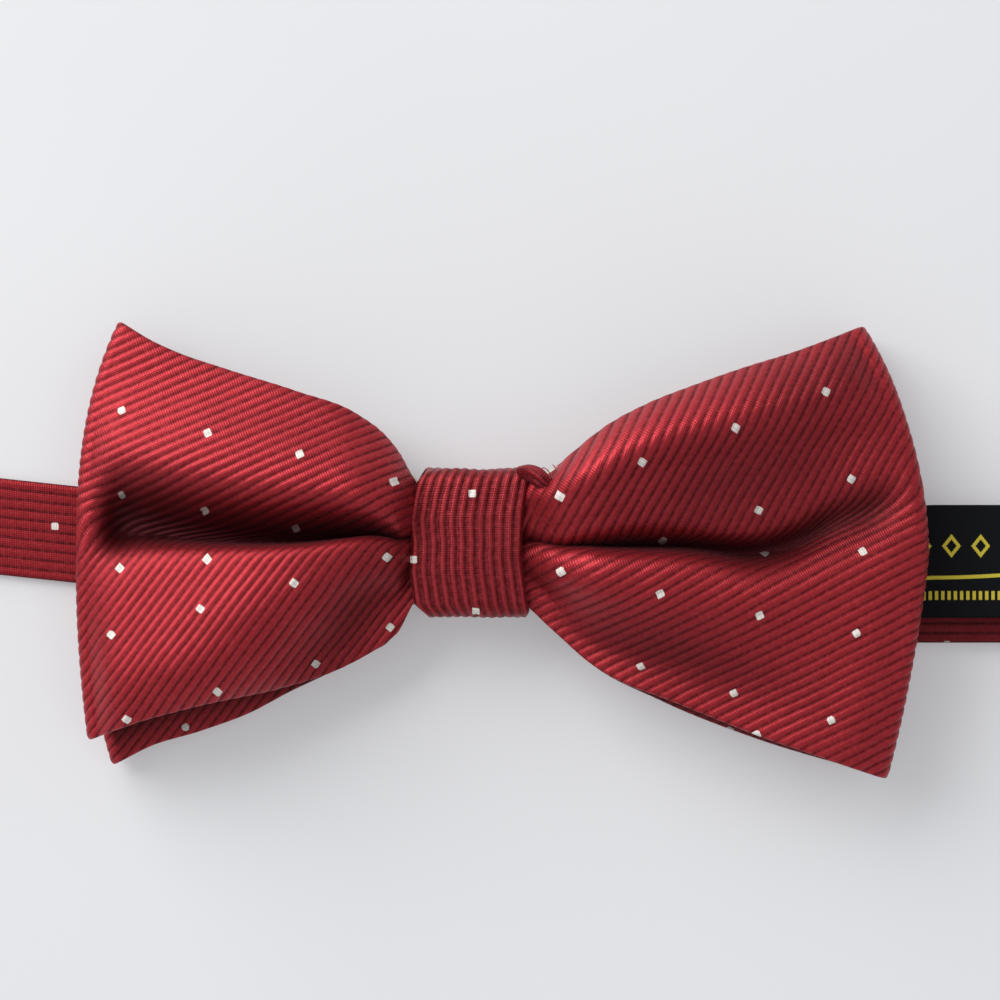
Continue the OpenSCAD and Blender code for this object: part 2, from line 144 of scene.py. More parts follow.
Z_RIGHT = [
    [7.9, 8.0, 8.1, 8.2, 8.3, 8.4, 8.4, 8.3, 8.2, 8.0],
    [7.9, 8.1, 8.3, 8.8, 9.0, 8.8, 9.0, 9.2, 9.2, 8.6],
    [8.1, 8.3, 8.6, 9.8, 10.2, 9.9, 10.1, 10.3, 10.3, 9.2],
    [8.4, 8.5, 9.0, 12.2, 13.2, 12.0, 12.4, 13.4, 13.2, 10.4],
    [9.0, 9.2, 11.8, 15.8, 16.8, 15.0, 15.4, 17.0, 17.4, 12.4],
    [10.6, 10.6, 13.8, 17.2, 17.8, 15.0, 15.6, 17.6, 19.4, 13.4],
    [11.0, 11.4, 14.0, 17.4, 17.6, 14.8, 15.2, 16.8, 19.0, 12.8],
    [11.8, 12.1, 14.0, 16.8, 17.0, 14.4, 14.6, 15.9, 17.8, 11.8],
    [12.6, 13.4, 14.4, 15.6, 15.8, 14.4, 13.9, 14.4, 16.2, 10.8],
    [12.4, 13.8, 14.4, 14.9, 14.9, 14.6, 14.2, 14.0, 14.6, 10.2],
    [11.4, 13.0, 13.8, 14.2, 14.2, 14.1, 13.7, 13.3, 12.6, 8.8],
]
# Outline: height of an edge at each share of the wing's reach
EDGES = {
    ("l", "f", 1): [(0, 8.5), (0.165, 8.9), (0.21, 12.8), (0.24, 14.7), (0.325, 18), (0.5, 21.3), (0.7, 24.4), (0.865, 27.2), (0.95, 29.2), (1, 30.7)],
    ("l", "f", -1): [(0, -8.5), (0.155, -8.9), (0.19, -12.6), (0.21, -13.6), (0.28, -16), (0.37, -18.2), (0.5, -20.2), (0.73, -22.7), (0.9, -25.3), (1, -27.4)],
    ("l", "r", 1): [(0, 8.5), (0.175, 8.7), (0.24, 14), (0.325, 17), (0.5, 20.5), (0.7, 23.5), (0.865, 26), (1, 27.6)],
    ("l", "r", -1): [(0, -8.5), (0.17, -8.7), (0.22, -13.5), (0.3, -16), (0.39, -18.4), (0.52, -21.5), (0.63, -24.4), (0.77, -27), (0.93, -29.5), (1, -31.3)],
    ("r", "f", 1): [(0, 8.5), (0.155, 8.8), (0.213, 9.5), (0.273, 12.4), (0.36, 16.2), (0.464, 19.3), (0.593, 22.1), (0.723, 24.6), (0.851, 26.8), (0.95, 28.8), (1, 29.9)],
    ("r", "f", -1): [(0, -8.5), (0.145, -8.9), (0.193, -11.4), (0.234, -13.5), (0.3, -16.8), (0.382, -19.6), (0.48, -21.7), (0.6, -24.4), (0.726, -27.2), (0.847, -29.5), (1, -32.5)],
    ("r", "r", 1): [(0, 8.5), (0.16, 8.7), (0.273, 13), (0.36, 16.5), (0.593, 22), (0.851, 26.5), (1, 29.6)],
    ("r", "r", -1): [(0, -8.5), (0.15, -8.7), (0.234, -13.5), (0.3, -17), (0.48, -22.4), (0.726, -28), (1, -32.7)],
}
LAYER_T, STEP, Z_LOW = 1.1, 1.5, 3.4
RIB = 1.40  # spacing of the ribs


def reach(side, rear, v):
    if side < 0:
        up = (3.4 if rear else 5.6) * np.power(np.clip((v + 0.3) / 1.3, 0, None), 3.2)
        down = (3.4 if rear else 1.4) * np.power(np.clip((-0.3 - v) / 0.7, 0, None), 1.7)
        return 55.5 - (0.7 if rear else 0) - up - down
    up = (6.4 if rear else 8.4) * np.power(np.clip(v, 0, None), 1.9)
    down = 5.4 * np.power(np.clip(-v, 0, None), 1.25)
    return 64.7 - (0.7 if rear else 0) - up - down


def edge_y(side, rear, t, v):
    key = ("l" if side < 0 else "r", "r" if rear else "f")
    top = hermite(t, *zip(*EDGES[key + (1,)]))
    bot = hermite(t, *zip(*EDGES[key + (-1,)]))
    return (top + bot) / 2 + v * (top - bot) / 2


def open_up(t):
    return ease((t - 0.16) / 0.5)


def z_rear_back(side, t, v):
    if side < 0:
        return Z_LOW - 2.4 * open_up(t) * v * v
    return Z_LOW + 3.3 * ease((t - 0.3) / 0.26) * (1 - ((v + 0.13) / 1.13) ** 4) - 2.2 * open_up(t) * v**6


def pressed(side, t, v):
    """1 where the crease holds the layers closed on one another."""
    c, v0 = crease(side, t, v)
    return ease(c * 1.15)


def z_rear_front(side, t, v):
    gape = (1.3 if side < 0 else 0.8) * open_up(t) * (1 - 0.35 * v * v)
    return z_rear_back(side, t, v) + STEP - 0.22 * pressed(side, t, v) + gape * (1 - pressed(side, t, v))


def z_front_back(side, t, v):
    gape = open_up(t) * (0.35 + (np.clip(-v, 0, None) ** 3 if side < 0 else 0))
    return z_rear_front(side, t, v) + STEP - 0.22 * pressed(side, t, v) + gape * (1 - pressed(side, t, v))


def crease(side, t, v):
    """How far down the crease between the two lobes takes the cloth, 0 to 1, and where its floor runs."""
    if side < 0:
        v0 = hermite(t, [0.1, 0.3, 0.5, 0.69, 0.87, 0.95, 1], [0.03, -0.03, -0.06, -0.05, 0.0, 0.02, 0.02])
        up = hermite(t, [0.1, 0.3, 0.5, 0.7, 0.87, 0.95, 1], [0.18, 0.24, 0.27, 0.30, 0.30, 0.26, 0.2])
        dn = hermite(t, [0.1, 0.4, 0.65, 0.85, 0.95, 1], [0.08, 0.06, 0.07, 0.11, 0.16, 0.18])
        c = hermite(t, [0.1, 0.7, 0.85, 0.94, 1], [1, 1, 1, 0.9, 0])
    else:
        v0 = hermite(t, [0.12, 0.19, 0.35, 0.5, 0.66, 0.74, 0.82, 0.9, 1], [-0.03, 0.0, 0.02, 0.0, -0.01, 0.05, 0.14, 0.19, 0.24])
        up = hermite(t, [0.12, 0.3, 0.55, 0.7, 0.85, 1], [0.17, 0.13, 0.12, 0.13, 0.15, 0.13])
        dn = hermite(t, [0.12, 0.3, 0.55, 0.7, 0.85, 1], [0.13, 0.09, 0.10, 0.13, 0.14, 0.13])
        c = hermite(t, [0.1, 0.55, 0.7, 0.85, 0.95, 1], [1, 1, 0.9, 0.72, 0.5, 0])
    w = np.where(v > v0, up, dn)
    return c * np.exp(-(np.abs((v - v0) / w) ** 2.2)), v0


def overhang(side, t, v, v0):
    """Sideways push, in mm, that leans the lower lobe's ridge over the crease."""
    if side < 0:
        a = hermite(t, [0.1, 0.16, 0.4, 0.7, 0.9, 1], [0, 1.3, 1.5, 1.2, 0.4, 0])
    else:
        a = hermite(t, [0.1, 0.16, 0.4, 0.65, 0.85, 1], [0, 1.1, 1.2, 0.7, 0.2, 0])
    return a * np.exp(-(((v - (v0 - 0.10)) / 0.085) ** 2))


def bilinear_table(side, t, v):
    rows = np.array(Z_LEFT if side < 0 else Z_RIGHT)
    at_t = hermite(t.ravel(), T_ROWS, rows)
    out = np.empty(t.size)
    vv = v.ravel()
    xs = np.array(V_ROWS)
    # cubic across the rows, each point with its own row values
    k = np.clip(np.searchsorted(xs, vv, side="right") - 1, 0, len(xs) - 2)
    d = np.diff(at_t, axis=1) / np.diff(xs)
    h = np.diff(xs)
    m = np.zeros_like(at_t)
    w = h[1:] / (h[:-1] + h[1:])
    m[:, 1:-1] = d[:, :-1] * w + d[:, 1:] * (1 - w)
    m[:, 0], m[:, -1] = d[:, 0] * 1.6, d[:, -1] * 1.6
    r = np.arange(t.size)
    s = (vv - xs[k]) / h[k]
    a = 2 * s**3 - 3 * s**2 + 1
    out = a * at_t[r, k] + (s**3 - 2 * s**2 + s) * h[k] * m[r, k] + (1 - a) * at_t[r, k + 1] + (s**3 - s**2) * h[k] * m[r, k + 1]
    return out.reshape(t.shape)


def z_front_front(side, t, v):
    base = z_front_back(side, t, v) + STEP - 0.22 * pressed(side, t, v)
    h = bilinear_table(side, t, v) - base
    h = np.where(h > 0.5, h, 0.5 * np.exp(np.clip(h - 0.5, -8, 0) * 1.4))
    c, _ = crease(side, t, v)
    x, y = side * t * 60, v * 30
    wobble = 0.3 * surface_noise(x, y, 23, 2 if side < 0 else 5) * ease((t - 0.18) / 0.15) * (1 - v**4)
    return base + (h + wobble * ease(h / 3)) * (1 - c)


def layer_z(side, rear, front, t, v):
    if rear:
        return z_rear_front(side, t, v) if front else z_rear_back(side, t, v)
    return z_front_front(side, t, v) if front else z_front_back(side, t, v)


ANGLES = {-1: (math.radians(23.5), math.radians(52)), 1: (math.radians(61), math.radians(27))}  # upper, lower lobe
PITCH = {-1: (1.235, 1.14), 1: (1.276, 1.318)}
MEET = {-1: (-50.0, 3.5), 1: (60.0, 6.0)}


def rib_fields(side, X, Y, blend, xe=None, ye=None, past=None):
    """Phase of the ribs and the distance along them, in mm. past is how far a point lies beyond the outer fold."""
    au, al = ANGLES[side]
    pu, pl = PITCH[side]
    x0, y0 = MEET[side]

    def one(a, p, X, Y):
        return (-(X - x0) * math.sin(a) + (Y - y0) * math.cos(a)) / p, (X - x0) * math.cos(a) + (Y - y0) * math.sin(a)

    if past is None:
        qu, ru = one(au, pu, X, Y)
        ql, rl = one(al, pl, X, Y)
        warp = 0.10 * surface_noise(X, Y, 17, 7)
        return ql + (qu - ql) * blend + warp, rl + (ru - rl) * blend
    q, r = rib_fields(side, xe, ye, blend)
    a = al + (au - al) * blend
    p = pl + (pu - pl) * blend
    return q + (-side * past * np.sin(a) + (Y - ye) * np.cos(a)) / p, r + side * past * np.cos(a) + (Y - ye) * np.sin(a)


# Middles of the woven squares on the front, by wing
DOTS = {
    -1: [(-48.6, 18.5), (-36.2, 15.2), (-23.3, 12.2), (-10.7, 8.5), (-48.9, 7.2), (-36.9, 5.1), (-24.3, 2.6), (-48.6, -3.7), (-36.1, -2.4), (-24.1, -5.4), (-11.6, -1.8),
         (-49.6, -12.8), (-36.9, -9.1), (-21.7, -16.9), (-11.1, -11.9), (-47.7, -24.4), (-35.1, -20.3)],
    1: [(49.7, 21.0), (36.9, 16.2), (24.0, 11.6), (13.2, 6.7), (53.6, 9.1), (40.5, 4.8), (27.4, 0.9), (55.1, -1.3), (41.8, -1.8), (13.4, -3.8), (26.7, -6.7), (40.5, -9.7),
        (54.1, -12.4), (24.4, -17.3), (37.4, -21.0), (50.9, -24.6), (40.6, -26.8)],
}


def dot_distance(X, Y, centres, angle):
    """Square distance to the nearest dot, its sides turned with the ribs."""
    best = np.full(X.shape, 99.0)
    c, s = np.cos(angle), np.sin(angle)
    for cx, cy in centres:
        near = (np.abs(X - cx) < 3) & (np.abs(Y - cy) < 3)
        if not near.any():
            continue
        dx, dy = X - cx, Y - cy
        d = np.maximum(np.abs(dx * c + dy * s), np.abs(-dx * s + dy * c))
        best = np.minimum(best, d)
    return np.minimum(best, 5)


def lattice_distance(X, Y, px=13.0, py=11.6, angle=0.6):
    dx = (X + px / 2) % px - px / 2
    dy = (Y + py / 2) % py - py / 2
    c, s = math.cos(angle), math.sin(angle)
    return np.minimum(np.maximum(np.abs(dx * c + dy * s), np.abs(-dx * s + dy * c)), 5)


def rib_profile(q):
    """Height of a rib, 0 in the groove to 1 on its crown."""
    return np.power(np.sin(np.pi * q) ** 2, 0.62)


def build_bow(name, rear, n_front, n_back, n_fold, n_v, rib_depth):
    edge = 0.55 / 30
    inner_v = np.linspace(-1 + edge, 1 - edge, n_v)
    rim = 1 - edge * np.array([0, 0.12, 0.35, 0.65])
    v_rows = np.concatenate([-rim, inner_v, rim[::-1]])
    nv = len(v_rows)
    segs = []
    tb = 0.012 + 0.988 * np.linspace(0, 1, n_back)
    tf = np.linspace(1, 0, n_front)
    fold_a = np.linspace(-90, 90, n_fold + 2)[1:-1]
    for side in (-1, 1):
        v = v_rows[None, :]
        z1f = layer_z(side, rear, True, np.ones((1, nv)), v)
        z1b = layer_z(side, rear, False, np.ones((1, nv)), v)
        rad = (z1f - z1b) / 2
        E = reach(side, rear, v) - LAYER_T / 2 - rad
        yE = edge_y(side, rear, np.ones((1, nv)), v)

        def layer(t, front):
            T, V = np.meshgrid(t, v_rows, indexing="ij")
            x = side * T * E
            y = edge_y(side, rear, T, V)
            z = layer_z(side, rear, front, T, V)
            _, v0 = crease(side, T, V)
            b = ease((V - v0 + 0.14) / 0.28)
            if front:
                y = y + (0 if rear else 1) * overhang(side, T, V, v0)
                q, r = rib_fields(side, x, y, b)
                angle = ANGLES[side][1] + (ANGLES[side][0] - ANGLES[side][1]) * b
                d = dot_distance(x, y, DOTS[side], angle) if not rear else lattice_distance(x + 1.6, y + 3.2)
            else:
                past = math.pi * rad + (E - T * E)
                q, r = rib_fields(side, x, y, b, side * E, yE, past)
                d = lattice_distance(x + 4, y + 2)
            # painted shade: the colour darkens along the crease between the lobes
            painted_shade = crease(side, T, V)[0] * ease((T - 0.1) / 0.08) if front and not rear else np.zeros_like(x)
            if front and not rear:
                # painted shade, darkening the colour where the cloth turns from the light: the hollow by the knot on
                # the left, the wide dips of both lobes on the right
                def painted_shade_patch(cx, cy, ang, long, wide, amount):
                    c, w = math.cos(math.radians(ang)), math.sin(math.radians(ang))
                    a, e = (x - cx) * c + (y - cy) * w, -(x - cx) * w + (y - cy) * c
                    return amount * np.exp(-((a / long) ** 2) - (e / wide) ** 2)
                if side < 0:
                    painted_shade = np.clip(painted_shade * 1.12, 0, 1)
                    painted_shade = np.maximum(painted_shade, painted_shade_patch(-17, -11.5, 52, 13, 4.8, 0.58))
                else:
                    painted_shade = np.clip(painted_shade * 1.25, 0, 1)
                    painted_shade = np.maximum(painted_shade, painted_shade_patch(39, 9.0, 20, 21, 7.8, 0.50))
                    painted_shade = np.maximum(painted_shade, painted_shade_patch(29, -15.3, -16, 17, 4.4, 0.54))
                    painted_shade = np.maximum(painted_shade, painted_shade_patch(49.5, 22.5, 24, 12, 5.0, 0.52))
                    painted_shade = np.maximum(painted_shade, painted_shade_patch(56.3, 3.6, 40, 6.5, 2.6, 0.60))
            if front and rear:
                # shade under the front bow's lower edge
                lower = edge_y(side, False, T, -np.ones_like(T))
                painted_shade = 0.9 * np.exp(-np.clip(lower - y, 0, None) / 2.4) * ease((T - 0.2) / 0.2)
            return np.stack([x, y, z], -1), q, r, d, painted_shade

        def fold():
            a = np.radians(fold_a)[:, None]
            V = np.broadcast_to(v, (len(fold_a), nv))
            x = side * (E + rad * np.cos(a))
            slope = (yE - edge_y(side, rear, np.full((1, nv), 0.97), v)) / (0.03 * E)
            y = yE + slope * rad * np.cos(a)
            z = (z1f + z1b) / 2 + rad * np.sin(a)
            _, v0 = crease(side, np.ones_like(V), V)
            b = ease((V - v0 + 0.14) / 0.28)
            past = rad * (math.pi / 2 - a)
            q, r = rib_fields(side, x, y, b, side * E, yE, past)
            return np.stack([x, y, z], -1), q, r, np.full(x.shape, 5.0), np.zeros(x.shape)

        parts = [layer(tb, False), fold(), layer(tf, True)]
        if side > 0:
            parts = [tuple(a[::-1] for a in p) for p in parts[::-1]]
        segs.append([np.concatenate([p[k] for p in parts], 0) for k in range(5)])
    # the middle station is in both halves
    left, right = segs
    P, Q, R, D, PAINTED_SHADE = (np.concatenate([left[k], right[k][1:]], 0) for k in range(5))
    # ends of layers repeat no point, but a fold's first ring may fall on a layer's last one
    N = normals_of(P)
    nu = len(P)
    off = LAYER_T / 2 * np.sqrt(np.clip(1 - np.clip((np.abs(v_rows) - (1 - edge)) / edge, 0, 1) ** 2, 0, 1))
    fade = np.clip(np.sqrt(np.clip((1 - np.abs(v_rows)) / (2 * edge), 0, 1)), 0, 1)
    relief = rib_depth * (rib_profile(Q) - 0.5) * fade
    relief = relief + 0.08 * np.clip(1 - (D / 0.6) ** 6, 0, 1) * fade
    outer = P + (off[None, :, None] + relief[..., None]) * N
    keep = np.unique(np.concatenate([np.arange(5), np.arange(4, nv - 4, 8), np.arange(nv - 5, nv)]))
    inner_j = keep[1:-1]
    inner = P[:, inner_j] - off[None, inner_j, None] * N[:, inner_j]
    verts = np.concatenate([outer.reshape(-1, 3), inner.reshape(-1, 3)], 0)
    ni = len(inner_j)
    base = nu * nv
    faces = grid_faces(nu, nv).tolist()

    def inner_index(i, k):  # k counts keep[]; its first and last are the outer skin's own edge rows
        if k == 0:
            return i * nv
        if k == len(keep) - 1:
            return i * nv + nv - 1
        return base + i * ni + k - 1

    for i in range(nu - 1):
        for k in range(len(keep) - 1):
            faces.append([inner_index(i, k), inner_index(i, k + 1), inner_index(i + 1, k + 1), inner_index(i + 1, k)])
    for i, turn in ((0, 1), (nu - 1, -1)):
        for k in range(len(keep) - 1):
            outer_run = [i * nv + j for j in range(keep[k], keep[k + 1] + 1)]
            inner_run = [inner_index(i, k + 1), inner_index(i, k)]
            loop = outer_run + [x for x in inner_run if x not in outer_run]
            if len(loop) > 2:
                faces.append(loop if turn > 0 else loop[::-1])
    pick = lambda A: np.concatenate([A.reshape(-1), A[:, inner_j].reshape(-1)])
    o = new_object(name, verts, faces, {"rib": pick(Q), "along": pick(R), "dot": pick(D), "painted_shade": pick(PAINTED_SHADE)})
    return o, (P, N, v_rows)


def build_interlining(name, rear, grid):
    P, N, v_rows = grid
    iu = np.unique(np.linspace(0, len(P) - 1, 110).astype(int))
    iv = np.unique(np.linspace(6, len(v_rows) - 7, 60).astype(int))
    A, B = P[np.ix_(iu, iv)], N[np.ix_(iu, iv)]
    n, m = len(iu), len(iv)
    verts = np.concatenate([(A + 0.16 * B).reshape(-1, 3), (A - 0.16 * B).reshape(-1, 3)], 0)
    faces = grid_faces(n, m).tolist() + grid_faces(n, m, n * m, flip=True).tolist()
    k = n * m
    for i in range(n - 1):
        for j in (0, m - 1):
            a, b = i * m + j, (i + 1) * m + j
            faces.append([b, a, a + k, b + k] if j == 0 else [a, b, b + k, a + k])
    for j in range(m - 1):
        for i in (0, n - 1):
            a, b = i * m + j, i * m + j + 1
            faces.append([a, b, b + k, a + k] if i == 0 else [b, a, a + k, b + k])
    return new_object(name, verts, faces)


front_bow, front_grid = build_bow("front_bow", False, 172, 30, 9, 190, 0.17)
rear_bow, rear_grid = build_bow("rear_bow", True, 90, 60, 7, 150, 0.15)
front_mid = build_interlining("front_bow_canvas", False, front_grid)
rear_mid = build_interlining("rear_bow_canvas", True, rear_grid)


# ---------------------------------------------------------------- the knot
def build_knot():
    """The wrap: a ribbed band round the middle, its cut edges rolled under."""
    n_round, n_across = 220, 150
    # the loop in Y and Z, from the middle of the back round the lower edge, over the front and back
    y0, y1, z0, z1 = -10.75, 10.75, 0.0, 11.9
    pts = []
    radius_low, radius_top = 1.9, 2.5

    def corner(cy, cz, r, a0, a1, n):
        return [(cy + r * math.cos(math.radians(a0 + (a1 - a0) * i / n)), cz + r * math.sin(math.radians(a0 + (a1 - a0) * i / n))) for i in range(n + 1)]

    pts += [(6.4, z0), (0, z0)]
    pts += corner(y0 + radius_low, z0 + radius_low, radius_low, 270, 180, 10)
    pts += corner(y0 + radius_top, z1 - radius_top - 0.4, radius_top, 180, 90, 14)
    pts += [(-4, z1 - 0.1), (0, z1), (4, z1 - 0.1)]
    pts += corner(y1 - radius_top, z1 - radius_top - 0.4, radius_top, 90, 0, 14)
    pts += corner(y1 - radius_low, z0 + radius_low, radius_low, 0, -90, 10)
    pts += [(6.6, z0)]
    pts = np.array(pts)
    seg = np.concatenate([[0], np.cumsum(np.linalg.norm(np.diff(pts, axis=0), axis=1))])
    s = np.linspace(0, seg[-1], n_round)
    Y, Z = np.interp(s, seg, pts[:, 0]), np.interp(s, seg, pts[:, 1])
    for _ in range(3):
        Y[1:-1] = (Y[:-2] + 2 * Y[1:-1] + Y[2:]) / 4
        Z[1:-1] = (Z[:-2] + 2 * Z[1:-1] + Z[2:]) / 4
    Z = np.maximum(Z, 0.02)
    a = np.linspace(0, 1, n_across)
    front = ease((Z - 1) / 6)
    ends = np.maximum(front, ease((np.abs(Y) - 7.2) / 2))
    xl = -8.1 + ends * np.interp(Y, [-10.8, -9, -4, 0, 3, 6.6, 9.5, 10.8], [2.1, 0.5, -0.2, 0.1, -0.35, 0.2, 1.0, 1.8])
    xr = 8.3 + front * np.interp(Y, [-10.8, -8, -2, 4, 8, 10.8], [0.4, 0.0, -0.8, -0.5, 0.1, 0.6])
    xl[1:-1] = (xl[:-2] + xl[2:]) / 2
    S, A = np.meshgrid(s, a, indexing="ij")
    X = xl[:, None] + A * (xr - xl)[:, None]
    Yg, Zg = np.broadcast_to(Y[:, None], X.shape).copy(), np.broadcast_to(Z[:, None], X.shape).copy()
    ty, tz = np.gradient(Y), np.gradient(Z)
    L = np.hypot(ty, tz)
    ny, nz = tz / L, -ty / L
    outward = np.where((Y * ny + (Z - 6) * nz)[:, None] >= 0, 1.0, -1.0)
    ny, nz = ny[:, None] * outward, nz[:, None] * outward
    # crowned across, and edges rolled under; the front sags a little between its corners
    across = 2 * A - 1
    crown = -0.55 * np.abs(across) ** 3 * ease((Zg - 3) / 5)
    roll = -0.7 * np.clip((np.abs(across) - 0.94) / 0.06, 0, 1) ** 2.2
    roll = np.where(Zg < 2.5, 0.35 * roll, roll)
    wander = 0.07 * np.sin(S / 5.1 + 0.6) + 0.03 * np.sin(S / 2.3 + 2)
    q = (A * 11.8) + wander
    waves = 0.14 * np.sin(2 * np.pi * (A * 1.6) + 0.5 + S / 14) * ease((Zg - 6) / 4)
    ribs = 0.17 * (rib_profile(q) - 0.5) * np.clip(1 - (np.abs(across) - 0.9) / 0.1, 0, 1)
    dots = dot_distance(X, Yg, [(0.6, 7.0), (1.1, -9.7), (-7.7, -2.3)], np.zeros_like(X))
    dots = np.where(Zg > 6, dots, 5.0)
    h = crown + roll + ribs + waves + 0.08 * np.clip(1 - (dots / 0.75) ** 6, 0, 1)
    Yg, Zg2 = Yg + ny * h, Zg + nz * h
    # the upper and lower ends of the front dip in the middle
    Yg = Yg - np.sign(Yg) * 0.35 * np.exp(-((across / 0.5) ** 2)) * ease((np.abs(Yg) - 8) / 2.5)
    Zg2 = np.maximum(Zg2, 0.02)
    outer = np.stack([X, Yg, Zg2], -1)
    wall = 0.65
    inner = outer - wall * np.stack([np.zeros_like(X), np.broadcast_to(ny, X.shape), np.broadcast_to(nz, X.shape)], -1)
    inner[:, :, 0] = X * 0.985
    step = 5
    keep = np.unique(np.concatenate([np.arange(0, n_across, step), [n_across - 1]]))
    inn = inner[:, keep]
    verts = np.concatenate([outer.reshape(-1, 3), inn.reshape(-1, 3)], 0)
    base, m, mi = n_round * n_across, n_across, len(keep)
    faces = grid_faces(n_round, n_across, flip=True).tolist() + grid_faces(n_round, mi, base).tolist()
    for i in range(n_round - 1):
        faces.append([i * m, (i + 1) * m, base + (i + 1) * mi, base + i * mi][::-1])
        faces.append([i * m + m - 1, base + i * mi + mi - 1, base + (i + 1) * mi + mi - 1, (i + 1) * m + m - 1][::-1])
    for i in (0, n_round - 1):
        for k in range(mi - 1):
            loop = [i * m + j for j in range(keep[k], keep[k + 1] + 1)] + [base + i * mi + k + 1, base + i * mi + k]
            faces.append(loop[::-1] if i == 0 else loop)
    pick = lambda B: np.concatenate([B.reshape(-1), B[:, keep].reshape(-1)])
    band = new_object("knot_band", verts, faces, {"rib": pick(q), "along": pick(S), "dot": pick(dots)})
    # the canvas under it lies over the front and both ends, and stops short of the back
    smooth = np.stack([X, np.broadcast_to(Y[:, None], X.shape), np.broadcast_to(Z[:, None], X.shape)], -1)
    smooth = smooth + (crown + waves - 0.12)[..., None] * np.stack([np.zeros_like(X), np.broadcast_to(ny, X.shape), np.broadcast_to(nz, X.shape)], -1)
    rows = np.where(Z > 2.2)[0][::3]
    cols = np.arange(8, n_across - 7, 7)
    nrm = np.stack([np.zeros_like(X), np.broadcast_to(ny, X.shape), np.broadcast_to(nz, X.shape)], -1)[np.ix_(rows, cols)]
    mid = smooth[np.ix_(rows, cols)]
    a, b = mid - (wall + 0.10) * nrm, mid - (wall + 0.42) * nrm
    n, m = len(rows), len(cols)
    k = n * m
    cv = np.concatenate([a.reshape(-1, 3), b.reshape(-1, 3)], 0)
    cf = grid_faces(n, m, flip=True).tolist() + grid_faces(n, m, k).tolist()
    for i in range(n - 1):
        cf.append([i * m, (i + 1) * m, (i + 1) * m + k, i * m + k][::-1])
        cf.append([(i + 1) * m + m - 1, i * m + m - 1, i * m + m - 1 + k, (i + 1) * m + m - 1 + k][::-1])
    for j in range(m - 1):
        cf.append([j + 1, j, j + k, j + 1 + k][::-1])
        e = (n - 1) * m + j
        cf.append([e, e + 1, e + 1 + k, e + k][::-1])
    return band, new_object("knot_canvas", cv, cf)


knot, knot_mid = build_knot()


def tube(name, path, radii, around=10, attrs=True, flatten=1.0):
    path = np.asarray(path, float)
    n = len(path)
    t = np.gradient(path, axis=0)
    t /= np.linalg.norm(t, axis=1, keepdims=True)
    up = np.array([0, 0, 1.0])
    a = np.cross(t, up)
    a /= np.maximum(np.linalg.norm(a, axis=1, keepdims=True), 1e-6)
    b = np.cross(a, t)
    ang = np.linspace(0, 2 * math.pi, around, endpoint=False)
    r = np.asarray(radii, float)
    if r.ndim == 1:
        r = r[:, None]
    P = path[:, None] + r[..., None] * (np.cos(ang)[None, :, None] * a[:, None] + flatten * np.sin(ang)[None, :, None] * b[:, None])
    faces = grid_faces(n, around, close_m=True).tolist()
    faces.append(list(range(around))[::-1])
    faces.append(list(range((n - 1) * around, n * around)))
    s = np.concatenate([[0], np.cumsum(np.linalg.norm(np.diff(path, axis=0), axis=1))])
    extra = {"rib": np.broadcast_to(ang[None] * 1.1, (n, around)).reshape(-1), "along": np.broadcast_to(s[:, None], (n, around)).reshape(-1),
             "dot": np.full(n * around, 5.0)} if attrs else {}
    return new_object(name, P.reshape(-1, 3), faces, extra)


def smooth_path(points, n):
    points = np.asarray(points, float)
    k = np.linspace(0, 1, len(points))
    return np.stack([hermite(np.linspace(0, 1, n), k, points[:, i]) for i in range(3)], -1)


roll_path = smooth_path([(7.2, 10.2, 10.6), (8.5, 10.1, 11.8), (9.6, 9.6, 12.7), (10.5, 8.9, 13.2), (11.2, 8.3, 13.3)], 34)
roll_a = np.linspace(0, 2 * math.pi, 26, endpoint=False)
roll_r = (0.6 + 0.6 * np.sin(np.linspace(0.25, 2.75, 34)))[:, None] * (1 + 0.16 * np.cos(roll_a * 3 + 0.6)[None] + 0.07 * np.cos(roll_a * 7 + np.linspace(0, 3, 34)[:, None]))
wrap_end = tube("wrap_rolled_end", roll_path, roll_r, around=26, flatten=0.75)
loose_threads = []
for k, pts in enumerate([
    [(11.1, 8.5, 13.3), (11.6, 9.2, 13.8), (11.3, 10.1, 14.0), (10.6, 10.6, 13.8), (10.1, 10.3, 13.5)],
    [(11.1, 8.1, 13.2), (12.0, 7.8, 14.2), (12.5, 8.3, 14.6), (12.2, 9.1, 14.7)],
    [(10.9, 8.8, 13.5), (11.9, 9.5, 14.1), (12.4, 10.3, 14.4), (11.8, 11.1, 14.2)],
]):
    path = smooth_path(pts, 30)
    r = np.full(30, 0.085)
    r[-3:] = (0.07, 0.05, 0.02)
    loose_threads.append(tube("loose_thread_%d" % (k + 1), path, r, around=7, attrs=False))


# ---------------------------------------------------------------- the neckband
BAND_W, BAND_T = 14.0, 1.0
MAIN_Y, EYE_Y, RUN_Z = -7.5, 6.0, 1.5
BACK_Z = RUN_Z + BAND_T + 0.2
LOOP_R = 0.6 + 0.1 + BAND_T / 2
EYE_X, HOOK_X, SLIDER_X = 140.0, 219.0, 42.0
EYE_BAR_Z, HOOK_BAR_Z = 0.55 + LOOP_R, RUN_Z + LOOP_R
SLIDER_BAR_Z = BACK_Z - 0.1 + LOOP_R
TAIL_Z = BACK_Z + BAND_T + 0.12
LEFT_Y = [(-135, 6), (-120, 5.9), (-105, 5.4), (-90, 4.4), (-70, 2.5), (-56, 1), (-40, -0.4), (-20, -1.5), (-9, -2), (9, -2), (14, -2.6), (20, -4.6), (27, -6.6), (34, -7.5), (60, -7.5)]


def run_y(x):
    return np.interp(x, *zip(*LEFT_Y))


def run_z(x):
    return RUN_Z - 0.95 * ease((-8 - x) / 30)


